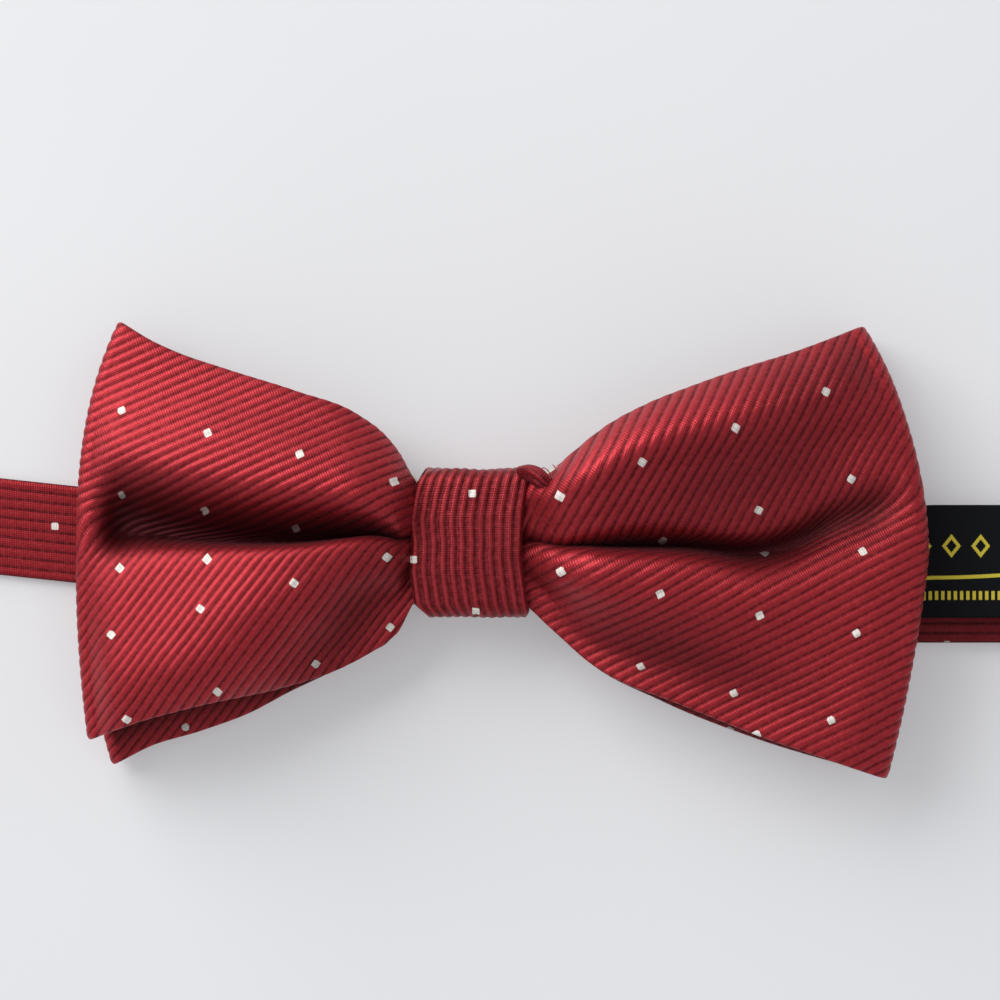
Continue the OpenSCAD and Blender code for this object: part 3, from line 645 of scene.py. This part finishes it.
def drift_y(x):
    return MAIN_Y + 4.8 * ease((x - SLIDER_X - 5) / 20) * (1 - ease((x - 115) / 60))


def arc(cx, cz, r, a0, a1, n, y):
    a = np.radians(np.linspace(a0, a1, n + 1))
    return np.stack([cx + r * np.cos(a), np.full(n + 1, y), cz + r * np.sin(a)], -1)


def band_mesh(name, path, width=BAND_W, thick=BAND_T, ribs=0.09, dots=(), front_sign=1, n_wide=66, capped=True, phase=0.0, shade=None):
    """A flat cloth tube along a path. front_sign is the side of the path that counts as its face, for the dots."""
    path = np.asarray(path, float)
    for _ in range(2):
        path[1:-1] = (path[:-2] + 2 * path[1:-1] + path[2:]) / 4
    seg = np.concatenate([[0], np.cumsum(np.linalg.norm(np.diff(path, axis=0), axis=1))])
    d = np.gradient(path, axis=0)
    l = np.hypot(d[:, 0], d[:, 2])
    nx, nz = -d[:, 2] / l, d[:, 0] / l
    hw, ht = width / 2, thick / 2
    # outline of the section: one face, a rounded edge, the other face, the other edge
    w = np.linspace(-hw + ht, hw - ht, n_wide)
    a = np.radians(np.linspace(-90, 90, 7)[1:-1])
    ws = np.concatenate([w, hw - ht + ht * np.cos(a[::-1]), w[::-1], -(hw - ht) - ht * np.cos(a)])
    hs = np.concatenate([np.full(n_wide, ht), ht * np.sin(a[::-1]), np.full(n_wide, -ht), ht * np.sin(a)])
    q = (ws + hw) / RIB + phase
    flat = (np.abs(ws) < hw - ht * 0.5).astype(float)
    relief = ribs * (rib_profile(q) - 0.5) * flat * np.sign(hs)
    W, S = np.meshgrid(ws, seg, indexing="xy")
    n, m = len(path), len(ws)
    P = np.empty((n, m, 3))
    wave = 0.06 * surface_noise(S, W, 31, 3)
    # the inside of a tight fold lies smooth round its bar
    tx, tz = d[:, 0] / l, d[:, 2] / l
    bend = (tx * np.gradient(tz) - tz * np.gradient(tx)) / np.maximum(np.gradient(seg), 1e-6)
    for _ in range(3):
        bend[1:-1] = (bend[:-2] + bend[1:-1] + bend[2:]) / 3
    calm = 1 - ease(np.clip(bend[:, None] * np.sign(hs)[None, :] / 0.3, 0, 1))
    H = hs[None, :] + (relief[None, :] + wave) * calm
    P[:, :, 0] = path[:, None, 0] + H * nx[:, None]
    P[:, :, 1] = path[:, None, 1] + W
    P[:, :, 2] = path[:, None, 2] + H * nz[:, None]
    on_face = np.broadcast_to((hs * front_sign > 0)[None, :], (n, m))
    D = dot_distance(P[:, :, 0], P[:, :, 1], dots, np.zeros((n, m))) if len(dots) else np.full((n, m), 5.0)
    D = np.where(on_face, D, 5.0)
    P[:, :, 2] += 0
    faces = grid_faces(n, m, close_m=True, flip=True).tolist()
    verts = P.reshape(-1, 3)
    if capped:
        faces.append(list(range(m)))
        faces.append(list(range((n - 1) * m, n * m))[::-1])
    Q = np.broadcast_to(q[None, :], (n, m))
    attrs = {"rib": Q.reshape(-1), "along": S.reshape(-1), "dot": D.reshape(-1)}
    if shade:
        # less light reaches the face of this run where another lies over it
        x0, x1, amount = shade
        x = path[:, 0]
        under = amount * ease((x - x0) / 8) * (1 - ease((x - x1) / 8))
        attrs["painted_shade"] = (under[:, None] * np.where(on_face & (path[:, 2] < 2.0)[:, None], 1.0, 0.0)).reshape(-1)
    return new_object(name, verts, faces, attrs)


def spaced(points, gap):
    """The same route with points no further apart than gap."""
    out = [points[0]]
    for p, q in zip(points[:-1], points[1:]):
        k = max(1, int(math.ceil(np.linalg.norm(np.subtract(q, p)) / gap)))
        for i in range(1, k + 1):
            out.append(np.add(p, np.subtract(q, p) * i / k))
    return np.array(out)


def finer(points, places):
    """The same route, with four steps for one where a dot is woven in, so that its edges stay crisp."""
    out = [points[0]]
    for p, q in zip(points[:-1], points[1:]):
        near = min(abs((p[0] + q[0]) / 2 - x) for x in places) < 1.7
        k = 4 if near else 1
        for i in range(1, k + 1):
            out.append(np.add(p, np.subtract(q, p) * i / k))
    return np.array(out)


main_x = [-137, -134, -130, -126, -120, -112, -105, -98, -90, -82, -76, -70, -63, -56, -48, -40, -32, -26, -20, -14, -9, -4, 4, 9, 11.5, 14, 17, 20, 23, 27, 30, 34, 40, 60, 100, 160, HOOK_X - 3]
first_run = np.concatenate([
    [[x, EYE_Y, EYE_BAR_Z + LOOP_R - 0.35 * float(ease((x + 138) / 10))] for x in (-126, -130, -134, -137)],
    arc(-EYE_X, EYE_BAR_Z, LOOP_R, 90, 270, 14, EYE_Y),
    [[x, float(run_y(x)), float(run_z(x))] for x in main_x],
    arc(HOOK_X, HOOK_BAR_Z, LOOP_R, -90, 90, 14, MAIN_Y),
    [[HOOK_X - 2, MAIN_Y, HOOK_BAR_Z + LOOP_R - 0.45], [HOOK_X - 4, MAIN_Y, HOOK_BAR_Z + LOOP_R - 1.0], [HOOK_X - 8, MAIN_Y, BACK_Z], [HOOK_X - 8.15, MAIN_Y, BACK_Z]],
])
TAB_END = SLIDER_X + 58
return_run = np.concatenate([
    [[x, float(drift_y(x)), BACK_Z] for x in np.linspace(HOOK_X - 8.25, SLIDER_X + 5, 60)],
    [[SLIDER_X + 2.4, MAIN_Y, BACK_Z - 0.06]],
    arc(SLIDER_X, SLIDER_BAR_Z, LOOP_R, 270, 90, 14, MAIN_Y),
    [[SLIDER_X + 2, MAIN_Y, SLIDER_BAR_Z + LOOP_R - 0.2], [SLIDER_X + 4, MAIN_Y, TAIL_Z + 0.35], [SLIDER_X + 6, MAIN_Y, TAIL_Z + 0.05],
     [SLIDER_X + 8, float(drift_y(SLIDER_X + 8)), TAIL_Z], [SLIDER_X + 11, float(drift_y(SLIDER_X + 11)), TAIL_Z]],
])
band_dots = [(-59.8, 2.3), (69.0, -14.72), (-73, 2.9), (-86, 4.3), (-99, 5.1), (-112, 5.6), (-125, 6.0), (82.4, -6.0), (95.6, -6.2), (108.8, -6.0), (122, -6.2), (135.2, -6), (148.4, -6.2), (161.6, -6), (174.8, -6.2), (188, -6), (201.2, -6.2)]
run_gap = 1.6
return_dots = [(x, float(drift_y(x)) + 1.4) for x in np.arange(112, 210, 13.2)]
first_band = band_mesh("neckband_first_run", finer(spaced(first_run, run_gap), [x for x, _ in band_dots]), dots=band_dots, shade=(52, 196, 0.62))
return_band = band_mesh("neckband_return_strap", finer(spaced(return_run, run_gap), [x for x, _ in return_dots]), dots=return_dots, front_sign=-1, phase=0.3)
first_mid = band_mesh("neckband_first_canvas", spaced(first_run[1:-1], 4), width=BAND_W - 1.6, thick=0.3, ribs=0, n_wide=6)
return_mid = band_mesh("neckband_return_canvas", spaced(return_run[1:-1], 4), width=BAND_W - 1.6, thick=0.3, ribs=0, n_wide=6)


# ---------------------------------------------------------------- the label
def build_label():
    length, height, thick = 44.0, 16.2, 0.4
    x0, z0 = SLIDER_X + 13, BACK_Z + BAND_T / 2 + 0.05
    nx, ny = 90, 34
    xs = np.linspace(0, length, nx)
    ys = np.linspace(-height / 2, height / 2, ny)
    A, B = np.meshgrid(xs, ys, indexing="ij")
    X = x0 + A
    Y = drift_y(X) + B
    lift = 0.12 * surface_noise(A, B, 26, 4) + 0.10
    edge = np.minimum(np.minimum(A, length - A), np.minimum(B + height / 2, height / 2 - B))
    fold = 0.10 * np.clip(1 - edge / 0.9, 0, 1)
    top = np.stack([X, Y, z0 + thick + np.maximum(lift, 0) + fold], -1)
    bottom = np.stack([X, Y, np.full_like(X, z0)], -1)
    verts = np.concatenate([top.reshape(-1, 3), bottom.reshape(-1, 3)], 0)
    k = nx * ny
    faces = grid_faces(nx, ny).tolist() + grid_faces(nx, ny, k, flip=True).tolist()
    for i in range(nx - 1):
        faces.append([(i + 1) * ny, i * ny, i * ny + k, (i + 1) * ny + k])
        faces.append([i * ny + ny - 1, (i + 1) * ny + ny - 1, (i + 1) * ny + ny - 1 + k, i * ny + ny - 1 + k])
    for j in range(ny - 1):
        faces.append([j, j + 1, j + 1 + k, j + k])
        a = (nx - 1) * ny + j
        faces.append([a + 1, a, a + k, a + 1 + k])
    pos = np.stack([A, B, np.zeros_like(A)], -1).reshape(-1, 3)
    low = pos.copy()
    low[:, 2] = 1
    return new_object("label", verts, faces, {"place": np.concatenate([pos, low], 0)})


label = build_label()


# ---------------------------------------------------------------- materials
def material(name, rough=0.6, metal=0.0, sheen=0.0, spec=0.5):
    m = bpy.data.materials.new(name)
    m.use_nodes = True
    nt = m.node_tree
    b = nt.nodes["Principled BSDF"]
    b.inputs["Roughness"].default_value = rough
    b.inputs["Metallic"].default_value = metal
    b.inputs["Sheen Weight"].default_value = sheen
    b.inputs["Specular IOR Level"].default_value = spec
    return m, nt, b


def maths(nt, op, a, b=None, clamp=False):
    n = nt.nodes.new("ShaderNodeMath")
    n.operation = op
    n.use_clamp = clamp
    for k, x in enumerate((a, b)):
        if x is None:
            continue
        if isinstance(x, (int, float)):
            n.inputs[k].default_value = x
        else:
            nt.links.new(x, n.inputs[k])
    return n.outputs[0]


def attribute(nt, name):
    n = nt.nodes.new("ShaderNodeAttribute")
    n.attribute_name = name
    return n


def mix_rgb(nt, fac, a, b, blend="MIX"):
    n = nt.nodes.new("ShaderNodeMix")
    n.data_type = "RGBA"
    n.blend_type = blend
    for socket, x in ((n.inputs[0], fac), (n.inputs[6], a), (n.inputs[7], b)):
        if isinstance(x, (int, float)):
            socket.default_value = x
        elif isinstance(x, tuple):
            socket.default_value = (*x, 1)
        else:
            nt.links.new(x, socket)
    return n.outputs[2]


def smooth_range(nt, x, a, b, lo=0.0, hi=1.0):
    n = nt.nodes.new("ShaderNodeMapRange")
    n.interpolation_type = "SMOOTHSTEP"
    nt.links.new(x, n.inputs[0])
    for k, v in zip((1, 2, 3, 4), (a, b, lo, hi)):
        n.inputs[k].default_value = v
    return n.outputs[0]


def silk(name, ridge, groove, lo=0.08, hi=0.8, dot=(0.80, 0.76, 0.70)):
    m, nt, b = material(name, rough=0.5, metal=0.65, sheen=0.08, spec=0.3)
    b.inputs["Sheen Roughness"].default_value = 0.4
    b.inputs["Sheen Tint"].default_value = (0.95, 0.35, 0.4, 1)
    rib = attribute(nt, "rib").outputs["Fac"]
    along = attribute(nt, "along").outputs["Fac"]
    dist = attribute(nt, "dot").outputs["Fac"]
    wave = maths(nt, "ABSOLUTE", maths(nt, "SINE", maths(nt, "MULTIPLY", rib, math.pi)))
    crown_sheen_mask = smooth_range(nt, wave, lo, hi)
    # fine cross threads
    weft = maths(nt, "SINE", maths(nt, "MULTIPLY", along, 2 * math.pi / 0.34))
    warp = maths(nt, "SINE", maths(nt, "MULTIPLY", rib, 2 * math.pi * 5))
    thread = maths(nt, "ADD", maths(nt, "MULTIPLY", weft, 0.6), maths(nt, "MULTIPLY", warp, 0.4))
    coord = nt.nodes.new("ShaderNodeTexCoord")
    big = nt.nodes.new("ShaderNodeTexNoise")
    big.inputs["Scale"].default_value = 55
    big.inputs["Detail"].default_value = 3
    nt.links.new(coord.outputs["Object"], big.inputs["Vector"])
    fine = nt.nodes.new("ShaderNodeTexNoise")
    fine.inputs["Scale"].default_value = 1600
    fine.inputs["Detail"].default_value = 2
    nt.links.new(coord.outputs["Object"], fine.inputs["Vector"])
    # painted sheen and shade: the rib crowns take the lighter colour as painted sheen, the grooves the darker one as
    # painted shade
    col = mix_rgb(nt, crown_sheen_mask, groove, ridge)
    col = mix_rgb(nt, smooth_range(nt, big.outputs["Fac"], 0.3, 0.7, 0.0, 0.28), col, tuple(c * 0.62 for c in ridge))
    col = mix_rgb(nt, smooth_range(nt, thread, -1, 1, 0.22, 0.0), col, tuple(c * 0.45 for c in ridge))
    col = mix_rgb(nt, smooth_range(nt, fine.outputs["Fac"], 0.35, 0.75, 0.0, 0.25), col, tuple(min(1, c * 1.5 + 0.02) for c in ridge))
    in_dot = smooth_range(nt, dist, 0.48, 0.56, 1.0, 0.0)
    # three floats of pale thread make each square
    floats = maths(nt, "ABSOLUTE", maths(nt, "SINE", maths(nt, "MULTIPLY", along, math.pi / 0.47)))
    dot_col = mix_rgb(nt, smooth_range(nt, floats, 0.0, 0.5), tuple(c * 0.72 for c in dot), dot)
    col = mix_rgb(nt, in_dot, col, dot_col)
    # painted shade: the colour darkens nearly to black in creases, in hollows and under other layers
    painted_shade = attribute(nt, "painted_shade").outputs["Fac"]
    col = mix_rgb(nt, maths(nt, "MULTIPLY", painted_shade, 0.84, True), col, (0.010, 0.001, 0.002))
    nt.links.new(col, b.inputs["Base Color"])
    nt.links.new(smooth_range(nt, dist, 0.48, 0.56, 0.0, 0.65), b.inputs["Metallic"])
    nt.links.new(smooth_range(nt, wave, 0.0, 0.9, 0.58, 0.42), b.inputs["Roughness"])
    bump = nt.nodes.new("ShaderNodeBump")
    bump.inputs["Strength"].default_value = 0.5
    bump.inputs["Distance"].default_value = 0.00008
    height = maths(nt, "ADD", maths(nt, "MULTIPLY", thread, 0.5), maths(nt, "MULTIPLY", fine.outputs["Fac"], 0.8))
    height = maths(nt, "ADD", height, maths(nt, "MULTIPLY", wave, 1.2))
    nt.links.new(height, bump.inputs["Height"])
    nt.links.new(bump.outputs["Normal"], b.inputs["Normal"])
    return m


# silk colours: the lighter is the rib crown with painted sheen, the darker the groove with painted shade
SHEEN_RIDGE, SHADED_GROOVE = (0.39, 0.024, 0.033), (0.105, 0.005, 0.0075)
bow_silk = silk("ribbed_silk", SHEEN_RIDGE, SHADED_GROOVE)
knot_silk = silk("knot_silk", (0.335, 0.0235, 0.031), (0.112, 0.0048, 0.0075), 0.70, 1.0)
# a darker copy of the silk, as painted shade on the rolled end
shaded_roll_silk = silk("rolled_end_shaded_silk", (0.25, 0.012, 0.018), (0.05, 0.002, 0.004), 0.3, 0.95)
band_silk = silk("band_silk", (0.305, 0.0155, 0.0225), (0.07, 0.0026, 0.005))

# canvas interlining
canvas, nt, b = material("canvas", rough=0.9)
coord = nt.nodes.new("ShaderNodeTexCoord")
mp = nt.nodes.new("ShaderNodeMapping")
mp.inputs["Scale"].default_value = (3000, 3000, 3000)
nt.links.new(coord.outputs["Object"], mp.inputs["Vector"])
chk = nt.nodes.new("ShaderNodeTexChecker")
chk.inputs["Scale"].default_value = 1.0
nt.links.new(mp.outputs["Vector"], chk.inputs["Vector"])
nz = nt.nodes.new("ShaderNodeTexNoise")
nz.inputs["Scale"].default_value = 400
nt.links.new(coord.outputs["Object"], nz.inputs["Vector"])
c1 = mix_rgb(nt, chk.outputs["Fac"], (0.62, 0.57, 0.46), (0.74, 0.70, 0.60))
c2 = mix_rgb(nt, smooth_range(nt, nz.outputs["Fac"], 0.3, 0.7, 0.0, 0.35), c1, (0.5, 0.45, 0.35))
nt.links.new(c2, b.inputs["Base Color"])
bp = nt.nodes.new("ShaderNodeBump")
bp.inputs["Strength"].default_value = 0.4
bp.inputs["Distance"].default_value = 0.0001
nt.links.new(chk.outputs["Fac"], bp.inputs["Height"])
nt.links.new(bp.outputs["Normal"], b.inputs["Normal"])


def thread_material(name, light, dark):
    m, nt, b = material(name, rough=0.6, sheen=0.3)
    coord = nt.nodes.new("ShaderNodeTexCoord")
    wv = nt.nodes.new("ShaderNodeTexWave")
    wv.bands_direction = "DIAGONAL"
    wv.inputs["Scale"].default_value = 900
    wv.inputs["Distortion"].default_value = 1.5
    nt.links.new(coord.outputs["Object"], wv.inputs["Vector"])
    nt.links.new(mix_rgb(nt, wv.outputs["Fac"], dark, light), b.inputs["Base Color"])
    bp = nt.nodes.new("ShaderNodeBump")
    bp.inputs["Strength"].default_value = 0.6
    bp.inputs["Distance"].default_value = 0.00005
    nt.links.new(wv.outputs["Fac"], bp.inputs["Height"])
    nt.links.new(bp.outputs["Normal"], b.inputs["Normal"])
    return m


red_thread = thread_material("sewing_thread", (0.36, 0.02, 0.035), (0.12, 0.006, 0.01))
black_thread = thread_material("label_thread", (0.03, 0.03, 0.034), (0.006, 0.006, 0.007))

# nickel-plated steel, satin, with fine brushing and duller patches
nickel, nt, b = material("nickel", rough=0.3, metal=1.0)
coord = nt.nodes.new("ShaderNodeTexCoord")
mp = nt.nodes.new("ShaderNodeMapping")
mp.inputs["Scale"].default_value = (300, 4000, 4000)
nt.links.new(coord.outputs["Object"], mp.inputs["Vector"])
streak = nt.nodes.new("ShaderNodeTexNoise")
streak.inputs["Scale"].default_value = 1.0
streak.inputs["Detail"].default_value = 4
nt.links.new(mp.outputs["Vector"], streak.inputs["Vector"])
patch = nt.nodes.new("ShaderNodeTexNoise")
patch.inputs["Scale"].default_value = 180
nt.links.new(coord.outputs["Object"], patch.inputs["Vector"])
nt.links.new(mix_rgb(nt, smooth_range(nt, patch.outputs["Fac"], 0.35, 0.7), (0.62, 0.60, 0.57), (0.78, 0.77, 0.74)), b.inputs["Base Color"])
nt.links.new(smooth_range(nt, streak.outputs["Fac"], 0.3, 0.7, 0.2, 0.42), b.inputs["Roughness"])
bp = nt.nodes.new("ShaderNodeBump")
bp.inputs["Strength"].default_value = 0.15
bp.inputs["Distance"].default_value = 0.00003
nt.links.new(streak.outputs["Fac"], bp.inputs["Height"])
nt.links.new(bp.outputs["Normal"], b.inputs["Normal"])


def label_material():
    """Black satin with a plain gold line, a row of lozenges above it and a row of short bars below."""
    m, nt, b = material("label_satin", rough=0.66, spec=0.10)
    place = attribute(nt, "place").outputs["Vector"]
    sep = nt.nodes.new("ShaderNodeSeparateXYZ")
    nt.links.new(place, sep.inputs[0])
    x, y, face = sep.outputs
    top = maths(nt, "SUBTRACT", 1.0, face)
    # woven jitter of the edges
    jit = maths(nt, "MULTIPLY", maths(nt, "SINE", maths(nt, "MULTIPLY", x, 2 * math.pi / 0.25)), 0.035)
    # the line, rising a little to the right
    rise = maths(nt, "MULTIPLY", maths(nt, "POWER", maths(nt, "DIVIDE", maths(nt, "MAXIMUM", maths(nt, "SUBTRACT", x, 11.0), 0.0), 22.0), 2.0), 1.6)
    ly = maths(nt, "SUBTRACT", maths(nt, "SUBTRACT", y, -2.35), rise)
    line = smooth_range(nt, maths(nt, "ADD", maths(nt, "ABSOLUTE", ly), jit), 0.22, 0.30, 1.0, 0.0)
    # lozenges
    px = maths(nt, "PINGPONG", maths(nt, "ADD", x, 0.4), 2.1)
    cell = maths(nt, "SUBTRACT", px, 1.05)
    dy = maths(nt, "ABSOLUTE", maths(nt, "SUBTRACT", y, 2.2))
    dia = maths(nt, "ADD", maths(nt, "DIVIDE", maths(nt, "ABSOLUTE", maths(nt, "SUBTRACT", px, 2.1)), 1.35), maths(nt, "DIVIDE", dy, 1.7))
    ring = maths(nt, "ABSOLUTE", maths(nt, "SUBTRACT", dia, 0.78))
    loz = smooth_range(nt, maths(nt, "ADD", ring, jit), 0.17, 0.26, 1.0, 0.0)
    # short bars
    bx = maths(nt, "ABSOLUTE", maths(nt, "SUBTRACT", maths(nt, "PINGPONG", x, 0.9), 0.45))
    by = maths(nt, "ABSOLUTE", maths(nt, "SUBTRACT", y, -4.9))
    bar = maths(nt, "MULTIPLY", smooth_range(nt, bx, 0.20, 0.28, 1.0, 0.0), smooth_range(nt, by, 0.55, 0.7, 1.0, 0.0))
    # keep the motif off the label's ends
    inside = maths(nt, "MULTIPLY", smooth_range(nt, x, 2.2, 2.5), smooth_range(nt, x, 41.5, 41.8, 1.0, 0.0))
    gold = maths(nt, "MULTIPLY", maths(nt, "MULTIPLY", maths(nt, "MAXIMUM", maths(nt, "MAXIMUM", line, loz), bar), inside), top)
    weave = maths(nt, "MULTIPLY", maths(nt, "SINE", maths(nt, "MULTIPLY", x, 2 * math.pi / 0.28)), maths(nt, "SINE", maths(nt, "MULTIPLY", y, 2 * math.pi / 0.2)))
    gold_col = mix_rgb(nt, smooth_range(nt, weave, -0.8, 0.9), (0.46, 0.37, 0.03), (0.86, 0.73, 0.09))
    black = mix_rgb(nt, smooth_range(nt, weave, -0.9, 0.9), (0.0025, 0.003, 0.004), (0.007, 0.0078, 0.010))
    nt.links.new(mix_rgb(nt, gold, black, gold_col), b.inputs["Base Color"])
    bp = nt.nodes.new("ShaderNodeBump")
    bp.inputs["Strength"].default_value = 0.35
    bp.inputs["Distance"].default_value = 0.00006
    nt.links.new(maths(nt, "ADD", weave, maths(nt, "MULTIPLY", gold, 1.5)), bp.inputs["Height"])
    nt.links.new(bp.outputs["Normal"], b.inputs["Normal"])
    return m


label_satin = label_material()


def dress(o, m):
    o.data.materials.clear()
    o.data.materials.append(m)


for o in (front_bow, rear_bow):
    dress(o, bow_silk)
dress(knot, knot_silk)
for o in (first_band, return_band):
    dress(o, band_silk)
for o in (front_mid, rear_mid, first_mid, return_mid, knot_mid):
    dress(o, canvas)
dress(label, label_satin)
dress(wrap_end, shaded_roll_silk)
for o in loose_threads:
    dress(o, red_thread)
for name, m in {
    "bow_gather_thread": red_thread, "knot_closing_stitches": red_thread, "knot_tack_stitches": red_thread,
    "eye_bar_tack": red_thread, "slider_bar_tack": red_thread, "label_stitches": black_thread,
    "slider": nickel, "hook": nickel, "eye": nickel,
}.items():
    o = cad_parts[name]
    for s in o.material_slots:
        s.link = "OBJECT"
        s.material = m

# ---------------------------------------------------------------- riding
for o in (front_bow, rear_bow, front_mid, rear_mid, knot, knot_mid, wrap_end, *loose_threads):
    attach(o, ROOT)
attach(label, SLIDER_END)
for o in (first_band, first_mid):
    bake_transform(o)
for o in (return_band, return_mid):
    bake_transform(o)
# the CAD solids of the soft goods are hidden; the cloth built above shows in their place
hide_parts("front_bow_shell")
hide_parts("rear_bow_shell")
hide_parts("front_bow_interlining")
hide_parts("rear_bow_interlining")
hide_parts("knot_wrap")
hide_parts("knot_interlining")
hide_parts("neckband_main_run", "neckband_outer_run", "neckband_hook_fold")
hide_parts("neckband_main_interlining", "neckband_outer_interlining", "neckband_hook_fold_interlining")
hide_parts("neckband_return_run", "neckband_return_tab")
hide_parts("neckband_return_run_interlining", "neckband_return_tab_interlining")
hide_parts("woven_label")

# ---------------------------------------------------------------- floor, light, camera
bpy.ops.mesh.primitive_plane_add(size=6, location=(0, 0, -0.0002))
floor = bpy.context.active_object
floor.name = "table"
fm, nt, b = material("table_paint", rough=0.55, spec=0.3)
coord = nt.nodes.new("ShaderNodeTexCoord")
nz = nt.nodes.new("ShaderNodeTexNoise")
nz.inputs["Scale"].default_value = 9
nt.links.new(coord.outputs["Object"], nz.inputs["Vector"])
nt.links.new(mix_rgb(nt, smooth_range(nt, nz.outputs["Fac"], 0.3, 0.7), (0.565, 0.57, 0.585), (0.585, 0.59, 0.605)), b.inputs["Base Color"])
# painted light: the table top glows a little, so that its shadows stay pale
b.inputs["Emission Color"].default_value = (0.97, 0.98, 1.0, 1)
b.inputs["Emission Strength"].default_value = 0.22
dress(floor, fm)


def area_light(name, place, target, size, power, colour=(1, 1, 1)):
    data = bpy.data.lights.new(name, "AREA")
    data.shape = "SQUARE"
    data.size = size
    data.energy = power
    data.color = colour
    o = bpy.data.objects.new(name, data)
    scene.collection.objects.link(o)
    o.location = place
    o.rotation_euler = (Vector(target) - Vector(place)).to_track_quat("-Z", "Y").to_euler()
    return o


area_light("key", (-0.78, 0.80, 0.62), (0.0, 0.0, 0.0), 1.15, 19.0, (1.0, 0.99, 0.98))
world = bpy.data.worlds.new("studio")
scene.world = world
world.use_nodes = True
world.node_tree.nodes["Background"].inputs[0].default_value = (0.955, 0.965, 0.99, 1)
world.node_tree.nodes["Background"].inputs[1].default_value = 0.57
scene.view_settings.view_transform = "Standard"
scene.view_settings.look = "None"

cam_data = bpy.data.cameras.new("camera")
cam_data.lens = 100
cam_data.sensor_width = 36
cam_data.dof.use_dof = False
cam_data.clip_start = 0.01
camera = bpy.data.objects.new("camera", cam_data)
scene.collection.objects.link(camera)
camera.location = (0.0045, 0.0061, 0.008 + 0.0710 / 0.18)
camera.rotation_euler = (0, 0, 0)
scene.camera = camera
